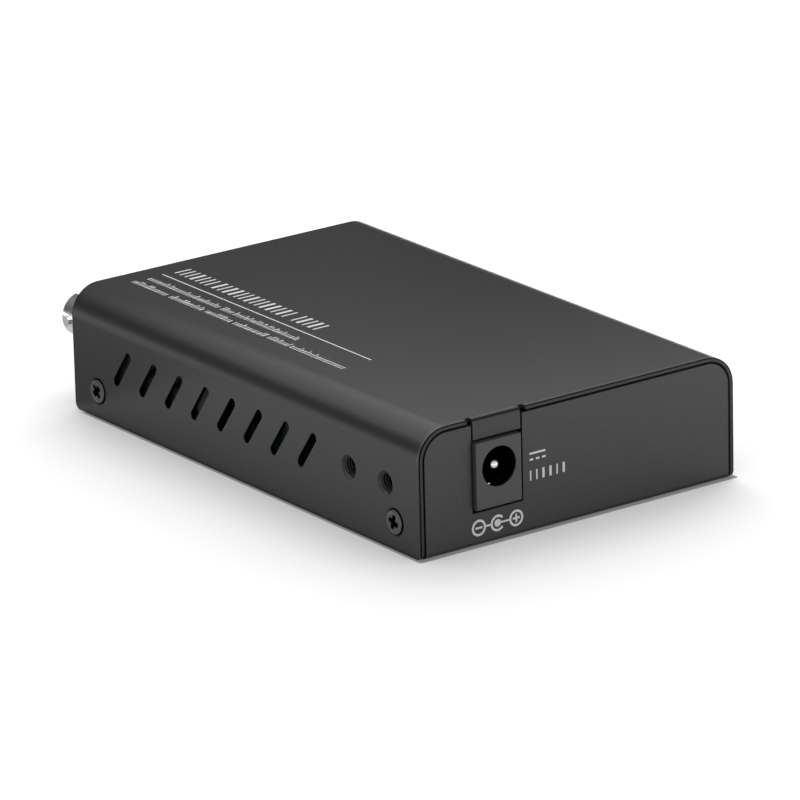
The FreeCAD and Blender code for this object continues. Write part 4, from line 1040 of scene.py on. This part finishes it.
@dataclass
class Studio:
    """Floor, lamps, surroundings and camera."""

    azimuth: float = 144.38
    elevation: float = 18.60
    roll: float = -0.02482
    distance: float = 1031.73
    shift_right: float = -0.464
    shift_up: float = 3.069
    lens: float = 294.94
    sensor: float = 36.0
    clip_end: float = 100.0
    floor_half: float = 6000.0
    floor_tone: Colour = (0.9, 0.9, 0.9)
    # Painted contact shadow on the floor round the case's foot: its tone, edge width and reach.
    contact_shadow_tone: Colour = (0.19, 0.19, 0.19)
    contact_soft: float = 0.35
    contact_reach: float = 0.58
    floor_lift: float = 0.12
    far_lift: float = 0.7
    far_reach: Point2 = (75.0, 160.0)
    cards: tuple[tuple[float, float, float], ...] = ((0.43, 31.0, 72.0), (0.62, 5.0, 31.0))
    card_reach: Point2 = (-130.0, -46.0)
    card_height: float = 0.5
    light_level: float = 0.78
    lamp_azimuth: float = -42.0
    lamp_elevation: float = 42.0
    lamp_distance: float = 1000.0
    lamp_size: float = 1000.0
    lamp_power: float = 6.6
    scrim_radius: float = 2600.0
    scrim_half_width: float = 92.0
    scrim_grid: tuple[int, int] = (40, 24)
    scrim_stops: tuple[Point2, ...] = ((0.0, 0.45), (0.08, 0.12), (0.86, 0.12), (0.94, 1.0))
    flag_level: float = 0.27
    flag_azimuth: float = 236.0
    flag_distance: float = 250.0
    flag_width: Point2 = (-12.0, 95.0)
    flag_height: Point2 = (60.0, 150.0)
    softbox_level: float = 1.6
    softbox_height: float = 100.0
    softbox_corners: tuple[Point2, ...] = ((-320.0, -34.0), (105.0, -163.0), (160.0, 60.0), (-320.0, 60.0))

    def build(self) -> None:
        """Set up everything round the object."""
        self._camera()
        self._floor()
        self._world()
        self._scrim()
        self._cards()
        self._back_light()

    @staticmethod
    def _direction(azimuth: float, elevation: float) -> Vector:
        """Unit vector away from the object.

        Args:
            azimuth: Degrees round from -Y towards +X.
            elevation: Degrees over the floor.

        Returns:
            The vector.
        """
        turn, lift = math.radians(azimuth), math.radians(elevation)
        return Vector((math.sin(turn) * math.cos(lift), -math.cos(turn) * math.cos(lift), math.sin(lift)))

    def _camera(self) -> None:
        """Place the camera at its viewing angle and aim it."""
        back = self._direction(self.azimuth, self.elevation)
        right = (-back).cross(Vector((0, 0, 1))).normalized()
        up = right.cross(-back)
        tilt_right = right * math.cos(self.roll) + up * math.sin(self.roll)
        tilt_up = up * math.cos(self.roll) - right * math.sin(self.roll)
        eye = (Vector((0, 0, COVER.z / 2)) + back * self.distance - tilt_right * self.shift_right
               - tilt_up * self.shift_up)
        data = bpy.data.cameras.new("camera")
        data.sensor_width = self.sensor
        data.lens = self.lens
        data.clip_end = self.clip_end
        camera = bpy.data.objects.new("camera", data)
        turn = Matrix((tilt_right, tilt_up, back)).transposed().to_4x4()
        camera.matrix_world = Matrix.Translation(eye * MM) @ turn
        bpy.context.scene.collection.objects.link(camera)
        bpy.context.scene.camera = camera

    def _floor(self) -> None:
        """Lay a pale floor that shows as white, keeps the object's shadow and carries a painted contact shadow round
        the case's foot.
        """
        material = bpy.data.materials.new("white floor")
        material.use_nodes = True
        tree = material.node_tree
        shader = tree.nodes["Principled BSDF"]
        shader.inputs["Roughness"].default_value = 1.0
        shader.inputs["Specular IOR Level"].default_value = 0.0
        shader.inputs["Emission Color"].default_value = WHITE
        colour, metal = tree.nodes.new("ShaderNodeRGB").outputs[0], tree.nodes.new("ShaderNodeValue").outputs[0]
        colour.default_value = (*self.floor_tone, 1.0)
        metal.default_value = 0.0
        # Painted contact shadow laid into the floor's colour.
        foot = ContactShadowZone(self.contact_shadow_tone, 0.0, self.contact_soft, COVER.x, COVER.y, self.contact_reach)
        tree.links.new(foot.lay(Place(tree), colour, metal)[0], shader.inputs["Base Color"])
        place, away = tree.nodes.new("ShaderNodeTexCoord"), tree.nodes.new("ShaderNodeVectorMath")
        away.operation = "LENGTH"
        tree.links.new(place.outputs["Object"], away.inputs[0])
        reach = tree.nodes.new("ShaderNodeMapRange")
        reach.inputs["From Min"].default_value = self.far_reach[0] * MM
        reach.inputs["From Max"].default_value = self.far_reach[1] * MM
        reach.inputs["To Max"].default_value = self.far_lift
        tree.links.new(away.outputs["Value"], reach.inputs["Value"])
        glossy = tree.nodes.new("ShaderNodeLightPath").outputs["Is Glossy Ray"]
        lift = self._seen_directly(tree) * self.floor_lift + Term(tree, glossy) * Term(tree, reach.outputs["Result"])
        tree.links.new(lift.socket, shader.inputs["Emission Strength"])
        half = self.floor_half
        self._stage_mesh("floor", [(-half, -half, 0), (half, -half, 0), (half, half, 0), (-half, half, 0)],
                         [(0, 1, 2, 3)], material)

    def _world(self) -> None:
        """Light evenly from all round, and show plain white behind the object and in its reflections."""
        world = bpy.data.worlds.new("surroundings")
        bpy.context.scene.world = world
        world.use_nodes = True
        tree = world.node_tree
        tree.nodes.clear()
        out, mix = tree.nodes.new("ShaderNodeOutputWorld"), tree.nodes.new("ShaderNodeMixShader")
        tree.links.new(self._seen_directly(tree).socket, mix.inputs["Fac"])
        for entry, level in ((1, self.light_level), (2, 1.0)):
            light = tree.nodes.new("ShaderNodeBackground")
            light.inputs["Color"].default_value = WHITE
            light.inputs["Strength"].default_value = level
            tree.links.new(light.outputs["Background"], mix.inputs[entry])
        tree.links.new(mix.outputs["Shader"], out.inputs["Surface"])

    @staticmethod
    def _seen_directly(tree: bpy.types.NodeTree) -> Term:
        """Mask of camera, glossy and transmission rays.

        Args:
            tree: The nodes it is added to.

        Returns:
            1 for those rays and 0 for all others.
        """
        path = tree.nodes.new("ShaderNodeLightPath")
        camera, glossy, through = (Term(tree, path.outputs[f"Is {kind} Ray"])
                                   for kind in ("Camera", "Glossy", "Transmission"))
        return camera.most(glossy).most(through)

    def _scrim(self) -> None:
        """Hang a dark curved scrim in the sky behind the object, seen in reflections alone."""
        columns, rows = self.scrim_grid
        vertices, faces = [], []
        for i in range(rows + 1):
            for j in range(columns + 1):
                turn = self.scrim_half_width * (2 * j / columns - 1)
                vertices.append(self._direction(turn, 90.0 * i / rows) * self.scrim_radius)
        for i in range(rows):
            for j in range(columns):
                a, b = i * (columns + 1) + j, (i + 1) * (columns + 1) + j
                faces.append((a, b, b + 1, a + 1))
        material, light = self._emitter("scrim light")
        tree = material.node_tree
        place, parts = tree.nodes.new("ShaderNodeTexCoord"), tree.nodes.new("ShaderNodeSeparateXYZ")
        unit, ramp = tree.nodes.new("ShaderNodeVectorMath"), tree.nodes.new("ShaderNodeValToRGB")
        unit.operation = "NORMALIZE"
        elements = ramp.color_ramp.elements
        while len(elements) < len(self.scrim_stops):
            elements.new(1.0)
        for element, (position, grey) in zip(elements, self.scrim_stops):
            element.position = position
            element.color = (grey, grey, grey, 1.0)
        tree.links.new(place.outputs["Object"], unit.inputs[0])
        tree.links.new(unit.outputs["Vector"], parts.inputs["Vector"])
        tree.links.new(parts.outputs["Z"], ramp.inputs["Fac"])
        tree.links.new(ramp.outputs["Color"], light.inputs["Color"])
        self._reflected_only(self._stage_mesh("scrim", vertices, faces, material))

    def _cards(self) -> None:
        """Set up cards that are seen in reflections alone.

        A softbox hangs close above the object, towards its front. Grey cards lie on the floor beside
        the front corner. A faint flag stands behind the front left.
        """
        self._card("softbox", self.softbox_level, [(x, y, self.softbox_height) for x, y in self.softbox_corners])
        (y0, y1), z = self.card_reach, self.card_height
        for i, (level, x0, x1) in enumerate(self.cards):
            self._card(f"grey_card_{i}", level, [(x0, y0, z), (x1, y0, z), (x1, y1, z), (x0, y1, z)])
        turn = math.radians(self.flag_azimuth)
        away, across = Vector((math.cos(turn), math.sin(turn))), Vector((-math.sin(turn), math.cos(turn)))
        left, right = (away * self.flag_distance + across * width for width in self.flag_width)
        low, high = self.flag_height
        self._card("flag", self.flag_level, [(*left, low), (*right, low), (*right, high), (*left, high)])

    def _card(self, name: str, level: float, corners: Sequence[Sequence[float]]) -> None:
        """Add an evenly lit card that only glossy rays see.

        Args:
            name: Its name.
            level: Its brightness, where 1 is white.
            corners: Its four corners, in millimetres.
        """
        material, light = self._emitter(name)
        light.inputs["Strength"].default_value = level
        self._reflected_only(self._stage_mesh(name, corners, [(0, 1, 2, 3)], material))

    @staticmethod
    def _emitter(name: str) -> tuple[bpy.types.Material, bpy.types.Node]:
        """Material that only shines.

        Args:
            name: Its name.

        Returns:
            The material and its emission node.
        """
        material = bpy.data.materials.new(name)
        material.use_nodes = True
        tree = material.node_tree
        tree.nodes.clear()
        out, light = tree.nodes.new("ShaderNodeOutputMaterial"), tree.nodes.new("ShaderNodeEmission")
        tree.links.new(light.outputs["Emission"], out.inputs["Surface"])
        return material, light

    def _back_light(self) -> None:
        """Shine a wide lamp from above and behind, which gives the floor its shadow and shows in nothing."""
        data = bpy.data.lights.new("back_light", "AREA")
        data.shape = "SQUARE"
        data.size = self.lamp_size * MM
        data.energy = self.lamp_power
        lamp = bpy.data.objects.new("back_light", data)
        bpy.context.scene.collection.objects.link(lamp)
        toward = self._direction(self.lamp_azimuth, self.lamp_elevation)
        lamp.location = toward * self.lamp_distance * MM
        lamp.rotation_euler = toward.to_track_quat("Z", "Y").to_euler()
        lamp.visible_glossy = False
        lamp.visible_transmission = False

    @staticmethod
    def _stage_mesh(name: str, corners: Sequence[Sequence[float]], faces: Sequence[Sequence[int]],
                    material: bpy.types.Material) -> bpy.types.Object:
        """Make a studio mesh that isn't part of the object.

        Args:
            name: Its name.
            corners: Its points, in millimetres.
            faces: Its faces.
            material: Its material.

        Returns:
            The new object.
        """
        mesh = bpy.data.meshes.new(name)
        mesh.from_pydata([tuple(Vector(corner) * MM) for corner in corners], [], faces)
        mesh.materials.append(material)
        stage = bpy.data.objects.new(name, mesh)
        bpy.context.scene.collection.objects.link(stage)
        return stage

    @staticmethod
    def _reflected_only(stage: bpy.types.Object) -> None:
        """Hide a studio mesh from all but glossy rays.

        Args:
            stage: The mesh.
        """
        stage.visible_camera = False
        stage.visible_diffuse = False
        stage.visible_shadow = False
        stage.visible_transmission = False


def main() -> None:
    """Dress the frame, add what the solids leave out, and set up the studio."""
    logging.basicConfig(level=logging.INFO, format="%(name)s: %(message)s")
    bpy.context.scene.view_settings.view_transform = "Standard"
    CadDress(FINISHED_NODES).build()
    for part in (TopPrint(), RearPrint(), CoverScrews(), SideThreads(), ContactLip()):
        piece = part.build()
        LOG.info("built %s with %d faces", piece.name, len(piece.data.polygons))
    Studio().build()


if __name__ == "__main__":
    main()
